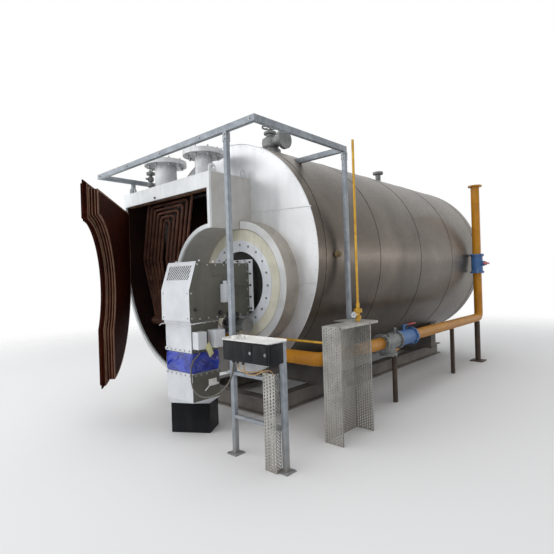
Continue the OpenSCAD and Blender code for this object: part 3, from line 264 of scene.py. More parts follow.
finishes = {
    "shellAluminium": dict(dark=(78, 70, 62), light=(112, 104, 94), metal=0.8, rough=(0.28, 0.4),
        patchScale=0.9, streak=((64, 56, 48), 0.35), streakScale=(3.0, 1.2, 3.0), grainScale=30, dents=4.0,
        dentScale=1.1, bumpDistance=0.004, bumpStrength=0.3),
    "frontAluminium": dict(dark=(206, 207, 209), light=(232, 234, 236), metal=0.62, rough=(0.32, 0.48),
        patchScale=1.3, streak=((168, 170, 176), 0.5), streakScale=(2.5, 2.5, 0.5), streakDetail=1,
        grain=0.05, dents=5.0, dentScale=1.6, bump=0.002, bumpDistance=0.005, bumpStrength=0.35,
        cloudy=True),
    "collarSheet": dict(dark=(148, 141, 131), light=(188, 180, 169), metal=0.6, rough=(0.3, 0.46),
        patchScale=2.2, streak=((98, 90, 80), 0.5), dents=3.0, bumpDistance=0.003),
    "sootySteel": dict(dark=(24, 11, 8), light=(46, 23, 16), rough=(0.8, 0.95), patchScale=3.0,
        rust=((66, 32, 20), 11, 0.64), bumpScale=90, bumpStrength=0.4, shine=0.2),
    "rustySteel": dict(dark=(32, 10, 5), light=(66, 25, 13), rough=(0.6, 0.8), patchScale=3.2,
        streak=((30, 14, 12), 0.6), rust=((104, 52, 33), 13, 0.6), shine=0.04, bumpScale=90,
        bumpStrength=0.5, bumpDistance=0.003),
    "tubeSteel": dict(dark=(70, 40, 30), light=(122, 80, 62), rough=(0.5, 0.7), patchScale=6,
        streak=((58, 34, 28), 0.6), rust=((150, 98, 74), 20, 0.6), shine=0.3, bumpScale=120,
        bumpStrength=0.35, bumpDistance=0.002),
    "baseSteel": dict(dark=(64, 62, 60), light=(92, 90, 86), metal=0.1, rough=(0.55, 0.75),
        rust=((96, 62, 44), 7, 0.6), foot=(150, 142, 134)),
    "insulationBoard": dict(dark=(206, 202, 182), light=(230, 227, 210), rough=(0.8, 0.95), patchScale=5,
        streak=((160, 148, 118), 0.5), grainScale=80, grain=0.4, bumpScale=160, bumpStrength=0.5,
        bumpDistance=0.004),
    "boltedSteel": dict(dark=(222, 226, 232), light=(242, 245, 249), metal=0.1, rough=(0.3, 0.45),
        patchScale=4, streak=((150, 148, 146), 0.35), bumpStrength=0.15),
    "darkSteel": dict(dark=(38, 38, 38), light=(62, 61, 59), metal=0.2, rough=(0.5, 0.7), patchScale=4,
        rust=((70, 56, 48), 9, 0.62)),
    "chamberCladding": dict(dark=(176, 173, 168), light=(204, 203, 199), metal=0.25, rough=(0.36, 0.5),
        patchScale=1.5, streak=((140, 134, 126), 0.45), dents=3.0, bumpDistance=0.004),
    "frameWhite": dict(dark=(222, 226, 227), light=(244, 247, 247), rough=(0.38, 0.52), patchScale=3,
        streak=((186, 178, 166), 0.35), rust=((140, 104, 80), 16, 0.72)),
    "fittingSteel": dict(dark=(184, 186, 188), light=(220, 222, 224), metal=0.4, rough=(0.32, 0.5),
        patchScale=5, streak=((126, 122, 118), 0.5), rust=((122, 92, 72), 14, 0.68)),
    "valveIron": dict(dark=(104, 106, 106), light=(142, 144, 143), metal=0.35, rough=(0.42, 0.6),
        patchScale=6, streak=((84, 80, 76), 0.5), bumpScale=130, bumpStrength=0.35),
    # the burner's grey is partly its paint and partly painted shade: it is darker to stand for the shade on
    # the sides that face away from the light
    "burnerGreyAndShade": dict(dark=(78, 77, 68), light=(98, 97, 88), metal=0.1, rough=(0.42, 0.55), patchScale=2.6,
        streak=((66, 62, 54), 0.35), bumpScale=140, bumpStrength=0.12, coat=0.1),
    "burnerWhite": dict(dark=(200, 203, 207), light=(222, 225, 229), rough=(0.34, 0.46), patchScale=3,
        streak=((192, 188, 182), 0.3), bumpStrength=0.08, coat=0.15),
    "blackPaint": dict(dark=(20, 21, 24), light=(36, 37, 41), rough=(0.38, 0.55), patchScale=4,
        streak=((78, 76, 74), 0.25), shine=0.15, bumpStrength=0.1),
    "lidLight": dict(dark=(224, 223, 219), light=(244, 243, 240), rough=(0.45, 0.6), patchScale=7,
        streak=((150, 144, 132), 0.4)),
    "galvanised": dict(dark=(124, 131, 139), light=(164, 170, 176), metal=0.3, rough=(0.38, 0.52),
        patchScale=9, streak=((120, 124, 128), 0.4), shine=0.3, grainScale=90, foot=(150, 146, 140)),
    "gasYellow": dict(dark=(166, 108, 12), light=(196, 134, 22), rough=(0.36, 0.5), patchScale=3.5,
        streak=((130, 84, 30), 0.4), rust=((112, 66, 36), 17, 0.7), shine=0.3, coat=0.1),
    "valveBlue": dict(dark=(44, 84, 138), light=(72, 116, 168), rough=(0.4, 0.55), patchScale=6,
        streak=((52, 66, 84), 0.4), bumpScale=130, bumpStrength=0.25),
    "supportBrown": dict(dark=(48, 37, 30), light=(76, 60, 48), rough=(0.6, 0.8), patchScale=5,
        rust=((98, 62, 42), 9, 0.62)),
    "brassYellow": dict(dark=(178, 132, 40), light=(214, 172, 66), metal=0.5, rough=(0.3, 0.45),
        patchScale=9),
    "zincBolt": dict(dark=(132, 134, 136), light=(186, 188, 190), metal=0.9, rough=(0.28, 0.45),
        patchScale=30, rust=((116, 82, 58), 30, 0.66)),
    "blackPlastic": dict(dark=(20, 20, 21), light=(32, 32, 34), rough=(0.42, 0.55), patchScale=10),
    "redPlastic": dict(dark=(150, 30, 40), light=(188, 44, 58), rough=(0.4, 0.5), patchScale=10),
    "cableDark": dict(dark=(74, 71, 64), light=(108, 104, 94), rough=(0.5, 0.65), patchScale=20,
        streak=((52, 50, 46), 0.4)),
    "cableBeige": dict(dark=(176, 140, 92), light=(206, 172, 122), rough=(0.45, 0.6), patchScale=20),
    "darkBolt": dict(dark=(58, 54, 50), light=(98, 94, 88), metal=0.6, rough=(0.4, 0.6), patchScale=30,
        rust=((92, 60, 42), 30, 0.62)),
    "tagYellow": dict(dark=(206, 204, 150), light=(226, 224, 176), rough=(0.6, 0.75), patchScale=12),
    "edgeBrown": dict(dark=(112, 82, 64), light=(158, 122, 98), rough=(0.6, 0.8), patchScale=9,
        streak=((56, 32, 22), 0.6), bumpScale=120, bumpStrength=0.4),
    "wrapBlue": dict(dark=(10, 22, 104), light=(34, 66, 196), rough=(0.16, 0.32), patchScale=9,
        streak=((12, 18, 84), 0.5), bumpScale=26, bumpStrength=0.35, coat=0.5),
    "tanBrass": dict(dark=(118, 100, 70), light=(166, 148, 114), metal=0.3, rough=(0.4, 0.6),
        patchScale=14),
    "guardSteel": dict(dark=(150, 149, 144), light=(190, 188, 182), metal=0.3, rough=(0.4, 0.55),
        patchScale=8, streak=((122, 118, 112), 0.4), grainScale=90, foot=(140, 134, 126)),
    "brightAluminium": dict(dark=(206, 207, 206), light=(232, 233, 234), metal=0.3, rough=(0.3, 0.45),
        patchScale=2.4, streak=((158, 152, 144), 0.5), streakScale=(2.0, 2.0, 0.8), bumpStrength=0.2),
    "gasketRope": dict(dark=(112, 82, 62), light=(152, 118, 90), rough=(0.85, 0.95), patchScale=12,
        streak=((70, 44, 34), 0.6), bumpScale=200, bumpStrength=0.6),
}
mats = {name: makeFinish(name, spec) for name, spec in finishes.items()}

# solids that are shown as they are packed
nodeFinish = {
    "sootySteel": ("tube_plate", "chamber_lining"),
    "rustySteel": ("door_lining", "door_plate", "door_cladding"),
    "baseSteel": ("base_rails", "saddles"),
    "chamberCladding": ("chamber_walls",),
    "frameWhite": ("chamber_frame",),
    "fittingSteel": ("lifting_lugs", "hinge_brackets", "door_knuckles"),
    "supportBrown": ("gas_pipe_supports",),
}
for finishName, members in nodeFinish.items():
    for nodeName in members:
        nodes[nodeName].data.materials.clear()
        nodes[nodeName].data.materials.append(mats[finishName])
print("finishes done", len(mats))


def newTree(name, inputs):
    tree = bpy.data.node_groups.new(name, "GeometryNodeTree")
    sockets = [("Geometry", "Geometry", None), *inputs, ("Material", "Material", None)]
    for label, kind, value in sockets:
        socket = tree.interface.new_socket(name=label, in_out="INPUT", socket_type="NodeSocket" + kind)
        if value is not None:
            socket.default_value = value
    tree.interface.new_socket(name="Geometry", in_out="OUTPUT", socket_type="NodeSocketGeometry")
    return tree, tree.nodes.new("NodeGroupInput").outputs


def joinParts(tree, *parts):
    joined = tree.nodes.new("GeometryNodeJoinGeometry")
    for part in parts:
        fill(tree, joined.inputs[0], part)
    return joined


def endTree(tree, start, geometry):
    real = addNode(tree, "GeometryNodeRealizeInstances", Geometry=geometry)
    painted = addNode(tree, "GeometryNodeSetMaterial", Geometry=real, Material=start["Material"])
    addNode(tree, "NodeGroupOutput", Geometry=painted)
    return tree


# a hex or round head on a washer, stood on each point along its "facing" direction
def makeFastenerTree():
    tree, start = newTree("fastenerHeads", [
        ("Sides", "Int", 6), ("Head Radius", "Float", 0.012), ("Head Height", "Float", 0.012),
        ("Top Share", "Float", 0.9), ("Washer Radius", "Float", 0.018), ("Washer Height", "Float", 0.003),
        ("Seed", "Int", 4)])
    topRadius = maths(tree, "MULTIPLY", start["Head Radius"], start["Top Share"])
    head = addNode(tree, "GeometryNodeMeshCone", Vertices=start["Sides"], Radius_Top=topRadius,
                   Radius_Bottom=start["Head Radius"], Depth=start["Head Height"])
    lift = addNode(tree, "ShaderNodeCombineXYZ", Z=start["Washer Height"])
    raised = addNode(tree, "GeometryNodeTransform", Geometry=head, Translation=lift)
    washer = addNode(tree, "GeometryNodeMeshCone", Vertices=14, Radius_Top=start["Washer Radius"],
                     Radius_Bottom=start["Washer Radius"], Depth=start["Washer Height"])
    joined = joinParts(tree, raised, washer)
    way = addNode(tree, "GeometryNodeInputNamedAttribute", {"data_type": "FLOAT_VECTOR"}, Name="facing")
    align = addNode(tree, "FunctionNodeAlignRotationToVector", {"axis": "Z"}, Vector=way)
    angle = addNode(tree, "FunctionNodeRandomValue", {"data_type": "FLOAT"}, Seed=start["Seed"])
    fill(tree, angle.inputs[3], math.tau)
    spin = addNode(tree, "FunctionNodeAxisAngleToRotation", Axis=(0, 0, 1), Angle=angle.outputs[1])
    turned = addNode(tree, "FunctionNodeRotateRotation", {"rotation_space": "LOCAL"}, Rotation=align,
                     Rotate_By=spin)
    points = addNode(tree, "GeometryNodeMeshToPoints", Mesh=start["Geometry"])
    heads = addNode(tree, "GeometryNodeInstanceOnPoints", Points=points, Instance=joined,
                    Rotation=turned)
    return endTree(tree, start, heads)


# a flat sheet in the XY plane, with staggered rows of oval holes
def makePerforatedTree():
    tree, start = newTree("perforatedSheet", [
        ("Width", "Float", 0.5), ("Height", "Float", 1.0), ("Columns", "Int", 10), ("Rows", "Int", 20),
        ("Border", "Float", 0.02), ("Hole Width", "Float", 0.008), ("Hole Height", "Float", 0.02)])
    edge = addNode(tree, "GeometryNodeCurvePrimitiveQuadrilateral", Width=start["Width"],
                   Height=start["Height"])
    innerWidth = maths(tree, "SUBTRACT", start["Width"], maths(tree, "MULTIPLY", start["Border"], 2))
    innerHeight = maths(tree, "SUBTRACT", start["Height"], maths(tree, "MULTIPLY", start["Border"], 2.5))
    grid = addNode(tree, "GeometryNodeMeshGrid", Size_X=innerWidth, Size_Y=innerHeight,
                   Vertices_X=start["Columns"], Vertices_Y=start["Rows"])
    index = tree.nodes.new("GeometryNodeInputIndex")
    column = maths(tree, "FLOOR", maths(tree, "DIVIDE", index, start["Rows"]), 0)
    odd = maths(tree, "MODULO", column, 2)
    step = maths(tree, "DIVIDE", innerHeight, maths(tree, "SUBTRACT", start["Rows"], 1))
    shift = maths(tree, "MULTIPLY", maths(tree, "SUBTRACT", odd, 0.5), maths(tree, "MULTIPLY", step, 0.5))
    offset = addNode(tree, "ShaderNodeCombineXYZ", Y=shift)
    moved = addNode(tree, "GeometryNodeSetPosition", Geometry=grid, Offset=offset)
    points = addNode(tree, "GeometryNodeMeshToPoints", Mesh=moved)
    ring = addNode(tree, "GeometryNodeCurvePrimitiveCircle", Resolution=10, Radius=0.5)
    size = addNode(tree, "ShaderNodeCombineXYZ", X=start["Hole Width"], Y=start["Hole Height"], Z=1.0)
    oval = addNode(tree, "GeometryNodeTransform", Geometry=ring, Scale=size)
    holes = addNode(tree, "GeometryNodeInstanceOnPoints", Points=points, Instance=oval)
    cut = addNode(tree, "GeometryNodeRealizeInstances", Geometry=holes)
    sheet = addNode(tree, "GeometryNodeFillCurve", Curve=joinParts(tree, cut, edge))
    return endTree(tree, start, sheet)


# a bar of rectangular or round section that follows the edges it is given
def makeBarTree():
    tree, start = newTree("stripAlongPath", [("Across", "Float", 0.01), ("Thick", "Float", 0.003),
                                             ("Round", "Bool", False), ("Normal", "Vector", (0, -1, 0))])
    path = addNode(tree, "GeometryNodeMeshToCurve", Mesh=start["Geometry"])
    steady = addNode(tree, "GeometryNodeSetCurveNormal", {"mode": "FREE"}, Curve=path,
                     Normal=start["Normal"])
    flat = addNode(tree, "GeometryNodeCurvePrimitiveQuadrilateral", Width=start["Thick"],
                   Height=start["Across"])
    circle = addNode(tree, "GeometryNodeCurvePrimitiveCircle", Resolution=10)
    half = maths(tree, "MULTIPLY", start["Across"], 0.5)
    scale = addNode(tree, "ShaderNodeCombineXYZ", X=half, Y=half, Z=half)
    rope = addNode(tree, "GeometryNodeTransform", Geometry=circle, Scale=scale)
    section = addNode(tree, "GeometryNodeSwitch", {"input_type": "GEOMETRY"}, Switch=start["Round"],
                      False_=flat, True_=rope)
    bar = addNode(tree, "GeometryNodeCurveToMesh", Curve=steady, Profile_Curve=section,
                  Fill_Caps=True)
    return endTree(tree, start, bar)


fastenerTree = makeFastenerTree()
perforatedTree = makePerforatedTree()
barTree = makeBarTree()
print("node trees done")


def runTree(tree, mesh, values):
    source = addObject("source", mesh)
    modifier = source.modifiers.new("shape", "NODES")
    modifier.node_group = tree
    for item in tree.interface.items_tree:
        if item.in_out == "INPUT" and item.name in values:
            modifier[item.identifier] = values[item.name]
    result = bpy.data.meshes.new_from_object(source.evaluated_get(bpy.context.evaluated_depsgraph_get()))
    bpy.data.objects.remove(source)
    bpy.data.meshes.remove(mesh)
    return result


def boxOf(nodeName):
    low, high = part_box(nodeName)
    return Vector(low), Vector(high)


def placePiece(name, mesh, finish, likeNode, body="root", stands=()):
    mesh.name = name
    if not mesh.materials:
        mesh.materials.append(mats[finish])
    piece = addObject(name, mesh)
    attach(piece, body)
    if stands:
        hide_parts(*stands)
    return piece


# edges sharper than this stay sharp when a mesh is shaded
creaseAngle = math.radians(32)


def finishMesh(bm, bevel=0.0, segments=2):
    bmesh.ops.recalc_face_normals(bm, faces=bm.faces)
    if bevel:
        sharp = [edge for edge in bm.edges if edge.is_manifold and edge.calc_face_angle(0) > creaseAngle]
        bmesh.ops.bevel(bm, geom=sharp, offset=bevel, segments=segments, affect="EDGES", profile=0.6)
    for face in bm.faces:
        face.smooth = True
    for edge in bm.edges:
        edge.smooth = not edge.is_manifold or edge.calc_face_angle(0) < creaseAngle
    mesh = bpy.data.meshes.new("piece")
    bm.to_mesh(mesh)
    bm.free()
    return mesh


def addBox(bm, low, high, turn=Matrix.Identity(4)):
    low, high = Vector(low), Vector(high)
    size = Matrix.Diagonal((*(high - low), 1))
    bmesh.ops.create_cube(bm, size=1, matrix=turn @ Matrix.Translation((low + high) / 2) @ size)


def addRod(bm, start, end, radius, sides=24, endRadius=None):
    start, end = Vector(start), Vector(end)
    axis = end - start
    place = Matrix.Translation((start + end) / 2) @ axis.to_track_quat("Z", "Y").to_matrix().to_4x4()
    bmesh.ops.create_cone(bm, cap_ends=True, segments=sides, radius1=radius,
                          radius2=radius if endRadius is None else endRadius, depth=axis.length, matrix=place)


def uprightRod(x, y, low, high, *shape):
    return ((x, y, low), (x, y, high), *shape)


# a shape is a box of two corners, or a rod of two ends, a radius and perhaps its sides and end radius
def addShapes(bm, shapes):
    for shape in shapes:
        (addBox if len(shape) == 2 else addRod)(bm, *shape)


def solidPiece(name, shapes, finish, likeNode, bevel=0.0, segments=2, **where):
    bm = bmesh.new()
    addShapes(bm, shapes)
    return placePiece(name, finishMesh(bm, bevel, segments), finish, likeNode, **where)


# joins rows of points into a skin, each row closed on itself
def bridgeRows(bm, rows, closed=True):
    for row, following in zip(rows, rows[1:] + rows[:1] if closed else rows[1:]):
        for k in range(len(row)):
            after = (k + 1) % len(row)
            bm.faces.new((row[k], row[after], following[after], following[k]))


# a head is its sides, radius, height, top share, washer radius and washer height
headInputs = ("Sides", "Head Radius", "Head Height", "Top Share", "Washer Radius", "Washer Height")


def fasteners(name, spots, head, likeNode, finish="zincBolt", body="root"):
    mesh = bpy.data.meshes.new(name + "Spots")
    mesh.from_pydata([tuple(place) for place, way in spots], [], [])
    ways = mesh.attributes.new("facing", "FLOAT_VECTOR", "POINT")
    ways.data.foreach_set("vector", [number for place, way in spots for number in way])
    inputs = {**dict(zip(headInputs, head)), "Material": mats[finish]}
    return placePiece(name, runTree(fastenerTree, mesh, inputs), finish, likeNode, body)


def pathMesh(paths, closed=False):
    points, edges = [], []
    for path in paths:
        first = len(points)
        points += [tuple(point) for point in path]
        edges += [(first + i, first + i + 1) for i in range(len(path) - 1)]
        if closed:
            edges.append((len(points) - 1, first))
    mesh = bpy.data.meshes.new("paths")
    mesh.from_pydata(points, edges, [])
    return mesh


# a flat bar where it has a thickness, and a round one where it has none
def bars(name, paths, finish, likeNode, across, thick=0.0, closed=True, normal=(0, -1, 0),
         body="root"):
    values = {"Across": across, "Thick": thick, "Round": not thick, "Normal": normal,
              "Material": mats[finish]}
    return placePiece(name, runTree(barTree, pathMesh(paths, closed), values), finish, likeNode, body)


def ringOf(centre, radius, count, axis=(0, 1, 0), start=0.0):
    centre, axis = Vector(centre), Vector(axis)
    side = Vector((0, 0, 1)) if abs(axis.z) < 0.5 else Vector((1, 0, 0))
    other = axis.cross(side)
    turns = [start + math.tau * i / count for i in range(count)]
    return [centre + side * math.cos(turn) * radius + other * math.sin(turn) * radius for turn in turns]


def between(low, high, count):
    return [low + (high - low) * i / (count - 1) for i in range(count)]


# smooth copies of the round solids, and softly edged ones of the boxes
dressSettings = dict(mergeGap=0.00002, flatAngle=math.radians(0.4))
boxBevel = 0.004
smoothNodes = {
    "shellAluminium": ("shell_cladding", "rear_end", "rear_manhole"),
    "frontAluminium": ("front_end",),
    "collarSheet": ("furnace_collar",),
    "tubeSteel": ("superheater_tubes", "superheater_header"),
    "insulationBoard": ("insulation_ring",),
    "burnerWhite": ("burner_front_cover",),
    "boltedSteel": ("burner_mount_ring",),
    "darkSteel": ("burner_neck",),
    "fittingSteel": ("steam_inlet_nozzle", "steam_outlet_nozzle"),
    "valveIron": ("crown_valve", "shell_stubs", "chamber_valve", "gas_filter", "gas_burner_block"),
    "gasYellow": ("gas_front_pipe", "gas_rear_pipe", "gas_riser_pipe"),
    "valveBlue": ("gas_ball_valve", "gas_riser_valve"),
    "brassYellow": ("pilot_gas_line",),
}
bevelledNodes = {
    "burnerGreyAndShade": ("burner_casing",),
    "burnerWhite": ("burner_flange", "burner_controls", "air_duct"),
    "blackPaint": ("air_inlet_box", "terminal_box"),
    "galvanised": ("service_frame", "terminal_stand"),
}


def dressNodes(members, mergeGap, flatAngle, bevel=0.0):
    for finish, nodeNames in members.items():
        for nodeName in nodeNames:
            bm = bmesh.new()
            bm.from_mesh(nodes[nodeName].data)
            bmesh.ops.remove_doubles(bm, verts=bm.verts, dist=mergeGap)
            if bevel:
                bmesh.ops.dissolve_limit(bm, angle_limit=flatAngle, verts=bm.verts, edges=bm.edges)
            mesh = finishMesh(bm, bevel)
            placePiece(nodeName + "_dressed", mesh, finish, nodeName, stands=(nodeName,))


dressNodes(smoothNodes, **dressSettings)
dressNodes(bevelledNodes, bevel=boxBevel, **dressSettings)
print("solids dressed")

# cords: from the burner to the terminal box, and two leads from that box into the tray; a cord is its node,
# radius, finish, material slot and points in millimetres
cordSettings = {
    "burnerCable": ("burner_cable", 0.008, "cableDark", "cable_dark", (
        (700, -1000, 911), (700, -1002, 880), (690, -1030, 845), (668, -1066, 800), (658, -1082, 740),
        (656, -1084, 670), (662, -1086, 600), (684, -1087, 545), (725, -1088, 508), (785, -1088, 490),
        (855, -1088, 488), (930, -1087, 500), (1005, -1086, 526), (1075, -1085, 562), (1140, -1084, 608),
        (1195, -1083, 660), (1238, -1082, 720), (1264, -1081, 780), (1276, -1080, 840), (1278, -1080, 896))),
    "terminalLeadA": ("terminal_lead_a", 0.005, "cableBeige", "cable_beige", (
        (1340, -1090, 896), (1340, -1090, 876), (1340, -1090, 856), (1345, -1089, 833), (1358, -1086, 814),
        (1377, -1081, 801), (1400, -1076, 796), (1440, -1066, 795), (1480, -1056, 797), (1520, -1047, 803),
        (1552, -1039, 810), (1572, -1034, 815), (1584, -1031, 817), (1604, -1027, 812), (1619, -1023, 797),
        (1624, -1022, 777), (1624, -1022, 750), (1624, -1022, 720))),
    "terminalLeadB": ("terminal_lead_b", 0.005, "cableBeige", "cable_beige", (
        (1430, -1110, 896), (1430, -1110, 873), (1430, -1110, 850), (1435, -1108, 823), (1449, -1103, 800),
        (1471, -1096, 785), (1496, -1087, 780), (1534, -1074, 784), (1572, -1061, 800), (1601, -1051, 815),
        (1625, -1043, 826), (1647, -1035, 830), (1666, -1028, 825), (1678, -1024, 817), (1686, -1021, 803),
        (1690, -1020, 785), (1690, -1020, 750), (1690, -1020, 710))),
}


def makeCord(name, nodeName, radius, finish, slot, route):
    points = [Vector(point) / 1000 for point in route]
    data = bpy.data.curves.new(name, "CURVE")
    data.dimensions = "3D"
    data.bevel_depth = radius
    data.bevel_resolution = 3
    data.use_fill_caps = True
    spline = data.splines.new("POLY")
    spline.points.add(len(points) - 1)
    for spot, point in zip(spline.points, points):
        spot.co = (*point, 1)
    spline.use_smooth = True
    data.materials.append(mats[finish])
    piece = addObject(name, data)
    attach(piece, "root")
    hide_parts(nodeName)


for cordName, cordSpec in cordSettings.items():
    makeCord(cordName, *cordSpec)
print("cords done")

# perforated sheets of the guard and the tray
holeSettings = dict(border=0.020, pitchAcross=0.024, pitchAlong=0.027, holeAcross=0.0125, holeAlong=0.019)
guardSettings = dict(sheet=0.004, webX=1.642, nearY=-0.270, farY=0.283, shelfFrom=0.173, lip=0.014,
    shelfEdge=0.022, cornerEdge=0.010, holes=holeSettings)
trayHoles = {**holeSettings, "pitchAcross": 0.028, "holeAcross": 0.015, "border": 0.014}
traySettings = dict(sheet=0.004, holes=trayHoles)


# a panel in the XZ or the YZ plane, whichever way the given box is thin
def perforatedPanel(low, high, border, pitchAcross, pitchAlong, holeAcross, holeAlong, thick=0.0025):
    low, high = Vector(low), Vector(high)
    size = high - low
    facesX = size.x < size.y
    across = size.y if facesX else size.x
    mesh = runTree(perforatedTree, pathMesh([[(0, 0, 0), (0, 0, 0)]]), {
        "Width": across, "Height": size.z, "Columns": max(3, round((across - 2 * border) / pitchAcross)),
        "Rows": round((size.z - 2 * border) / pitchAlong), "Border": border, "Hole Width": holeAcross,
        "Hole Height": holeAlong, "Material": mats["guardSteel"]})
    bm = bmesh.new()
    bm.from_mesh(mesh)
    bpy.data.meshes.remove(mesh)
    bmesh.ops.remove_doubles(bm, verts=bm.verts, dist=0.0001)
    bmesh.ops.recalc_face_normals(bm, faces=bm.faces)
    back = bmesh.ops.extrude_face_region(bm, geom=list(bm.faces))
    moved = [item for item in back["geom"] if isinstance(item, bmesh.types.BMVert)]
    bmesh.ops.translate(bm, verts=moved, vec=(0, 0, thick))
    bmesh.ops.translate(bm, verts=bm.verts, vec=(0, 0, -thick / 2))
    upright = Matrix.Rotation(math.radians(90), 4, "X")
    turn = Matrix.Rotation(math.radians(90 if facesX else 0), 4, "Z")
    bmesh.ops.transform(bm, matrix=Matrix.Translation((low + high) / 2) @ turn @ upright, verts=bm.verts)
    return bm


def perforatedPiece(name, likeNode, panels, holes, shapes=()):
    bm = bmesh.new()
    for low, high in panels:
        panel = perforatedPanel(low, high, **holes)
        mesh = bpy.data.meshes.new("panel")
        panel.to_mesh(mesh)
        panel.free()
        bm.from_mesh(mesh)
        bpy.data.meshes.remove(mesh)
    addShapes(bm, shapes)
    placePiece(name, finishMesh(bm), "guardSteel", likeNode, stands=(likeNode,))


def makeGuard(sheet, webX, nearY, farY, shelfFrom, lip, shelfEdge, cornerEdge, holes):
    low, high = boxOf("cable_guard")
    top, east, web = high.z - sheet, high.x, webX - sheet
    # turned edges along the flanges, then the shelf in two steps, its front edge and the web's corner
    perforatedPiece("guardPerforated", "cable_guard", (
        ((web, nearY, 0), (webX, farY, top)), ((webX, nearY, 0), (east, nearY + sheet, top)),
        ((webX, farY - sheet, 0), (east, farY, top))), holes, (
        ((east - sheet, nearY, 0), (east, nearY + lip, top)),
        ((east - sheet, farY - sheet - lip, 0), (east, farY, top)),
        ((low.x, shelfFrom, top), high), ((web, nearY, top), (east, shelfFrom, high.z)),
        ((east - 0.003, nearY, top - shelfEdge), (east, high.y, top)),
        ((web, nearY - 0.001, 0), (webX + cornerEdge, nearY + 0.003, high.z))))


def makeTray(sheet, holes):
    low, high = boxOf("cable_tray")
    inner = low.y + sheet
    perforatedPiece("trayPerforated", "cable_tray", (
        ((low.x, low.y, 0), (high.x, inner, high.z)), ((low.x, inner, 0), (low.x + sheet, high.y, high.z)),
        ((high.x - sheet, inner, 0), high)), holes)


makeGuard(**guardSettings)
makeTray(**traySettings)
print("perforated sheets done")

# places that several pieces share
shellLow, shellHigh = boxOf("shell_cladding")
shellRadius = (shellHigh.x - shellLow.x) / 2
axisZ = (shellHigh.z + shellLow.z) / 2
ringLow, ringHigh = boxOf("burner_mount_ring")
mouth = Vector(((ringLow.x + ringHigh.x) / 2, ringLow.y, (ringLow.z + ringHigh.z) / 2))
towardsFront, towardsRight, towardsRear, upwards = (0, -1, 0), (1, 0, 0), (0, 1, 0), (0, 0, 1)


def facing(spots, way=towardsFront):
    return [(spot, way) for spot in spots]


def paintFaces(pieceName, finish, isPainted):
    mesh = bpy.data.objects[pieceName].data
    mesh.materials.append(mats[finish])
    for polygon in mesh.polygons:
        if isPainted(polygon.normal, polygon.center):
            polygon.material_index = len(mesh.materials) - 1


# the shell's sheet is turned over the side of the front end; the burner's cover and its duct are white in
# front and the burner's grey at the sides, a grey that is partly paint and partly painted shade for the sides
# turned from the light; the slopes over the dark inlet box are white
inletTop = 0.311
paintFaces("front_end_dressed", "shellAluminium", lambda normal, middle: abs(normal.y) < 0.3 and math.hypot(
    middle.x, middle.z - axisZ) > shellRadius - 0.01)
# side faces of the cover and the duct take the darker grey: paint together with painted shade
for pieceName in ("burner_front_cover", "air_duct"):
    paintFaces(pieceName + "_dressed", "burnerGreyAndShade", lambda normal, middle: abs(normal.x) > 0.8)
paintFaces("air_inlet_box_dressed", "burnerWhite", lambda normal, middle: middle.z > inletTop)
paintFaces("shell_stubs_dressed", "tanBrass", lambda normal, middle: middle.x > shellRadius - 0.03)

# hoops over the shell's sheet joints, each with a row of rivets
hoopSettings = dict(rows=(0.135, 1.29, 2.48, 3.67, 4.86), width=0.016, lift=0.0022, sunk=0.004, steps=160,
    rivets=60, rivetBack=0.016, rivet=(8, 0.0042, 0.0028, 0.55, 0.0042, 0.0004))


def outwardRing(centre, radius, count, start):
    return [(spot, (spot - centre).normalized()) for spot in ringOf(centre, radius, count, start=start)]


def makeHoops(rows, width, lift, sunk, steps, rivets, rivetBack, rivet):
    profile = ((-sunk, 0), (lift, 0), (lift, width * 0.7), (-sunk, width))
    bm = bmesh.new()
    spots = []
    for y in rows:
        centre = Vector((0, y, axisZ))
        loops = []
        for point in ringOf(centre, shellRadius + lift / 2, steps):
            out = (point - centre).normalized()
            loops.append([bm.verts.new(point + out * high + Vector((0, along, 0)))
                          for high, along in profile])
        bridgeRows(bm, loops)
        spots += outwardRing(centre + Vector((0, rivetBack, 0)), shellRadius, rivets, 0.03)
    placePiece("shellHoops", finishMesh(bm), "shellAluminium", "shell_cladding")
    fasteners("shellRivets", spots, rivet, "shell_cladding")


makeHoops(**hoopSettings)

# lapped joints and the rolled rim of the front sheet; no rivets beside the chamber and under the collar
frontSettings = dict(seams=(((0.452, 2.369), (1.345, 2.325)), ((1.150, 1.509), (1.378, 1.526))), across=0.012,
    thick=0.003, rim=0.012, rivetGap=0.09, rivetDrop=0.022, rimRivets=64, rivetInset=0.035, chamberSide=0.46,
    chamberTop=2.78, collar=0.76, rivet=(8, 0.0045, 0.0028, 0.55, 0.0045, 0.0004))


def makeFront(seams, across, thick, rim, rivetGap, rivetDrop, rimRivets, rivetInset, chamberSide, chamberTop,
              collar, rivet):
    paths = [[Vector((x, -0.0005, z)) for x, z in seam] for seam in seams]
    bars("frontSeams", paths, "frontAluminium", "front_end", across, thick, closed=False)
    rimPath = ringOf((0, -0.002, axisZ), shellRadius - rim * 0.45, 180)
    bars("frontRim", [rimPath], "frontAluminium", "front_end", rim)
    spots = [start.lerp(end, share) - Vector((0, 0, rivetDrop)) for start, end in paths
             for share in between(0.04, 0.96, int((end - start).length / rivetGap))]
    spots += [spot for spot in ringOf((0, -0.0005, axisZ), shellRadius - rivetInset, rimRivets, start=0.02)
              if not (spot.x < chamberSide and spot.z < chamberTop) and (spot - mouth).length > collar]
    fasteners("frontRivets", facing(spots), rivet, "front_end")


makeFront(**frontSettings)

# the crescent chamber: round outside, and round the furnace mouth on its inner side
chamberLow, chamberHigh = boxOf("chamber_frame")
chamberRadius, insulationRadius, lowerRight = -chamberLow.x, 0.625, -0.040


def outsideChamber(spot, margin):
    return spot.x > chamberHigh.x + margin or (spot.x > lowerRight + margin and spot.z < mouth.z)


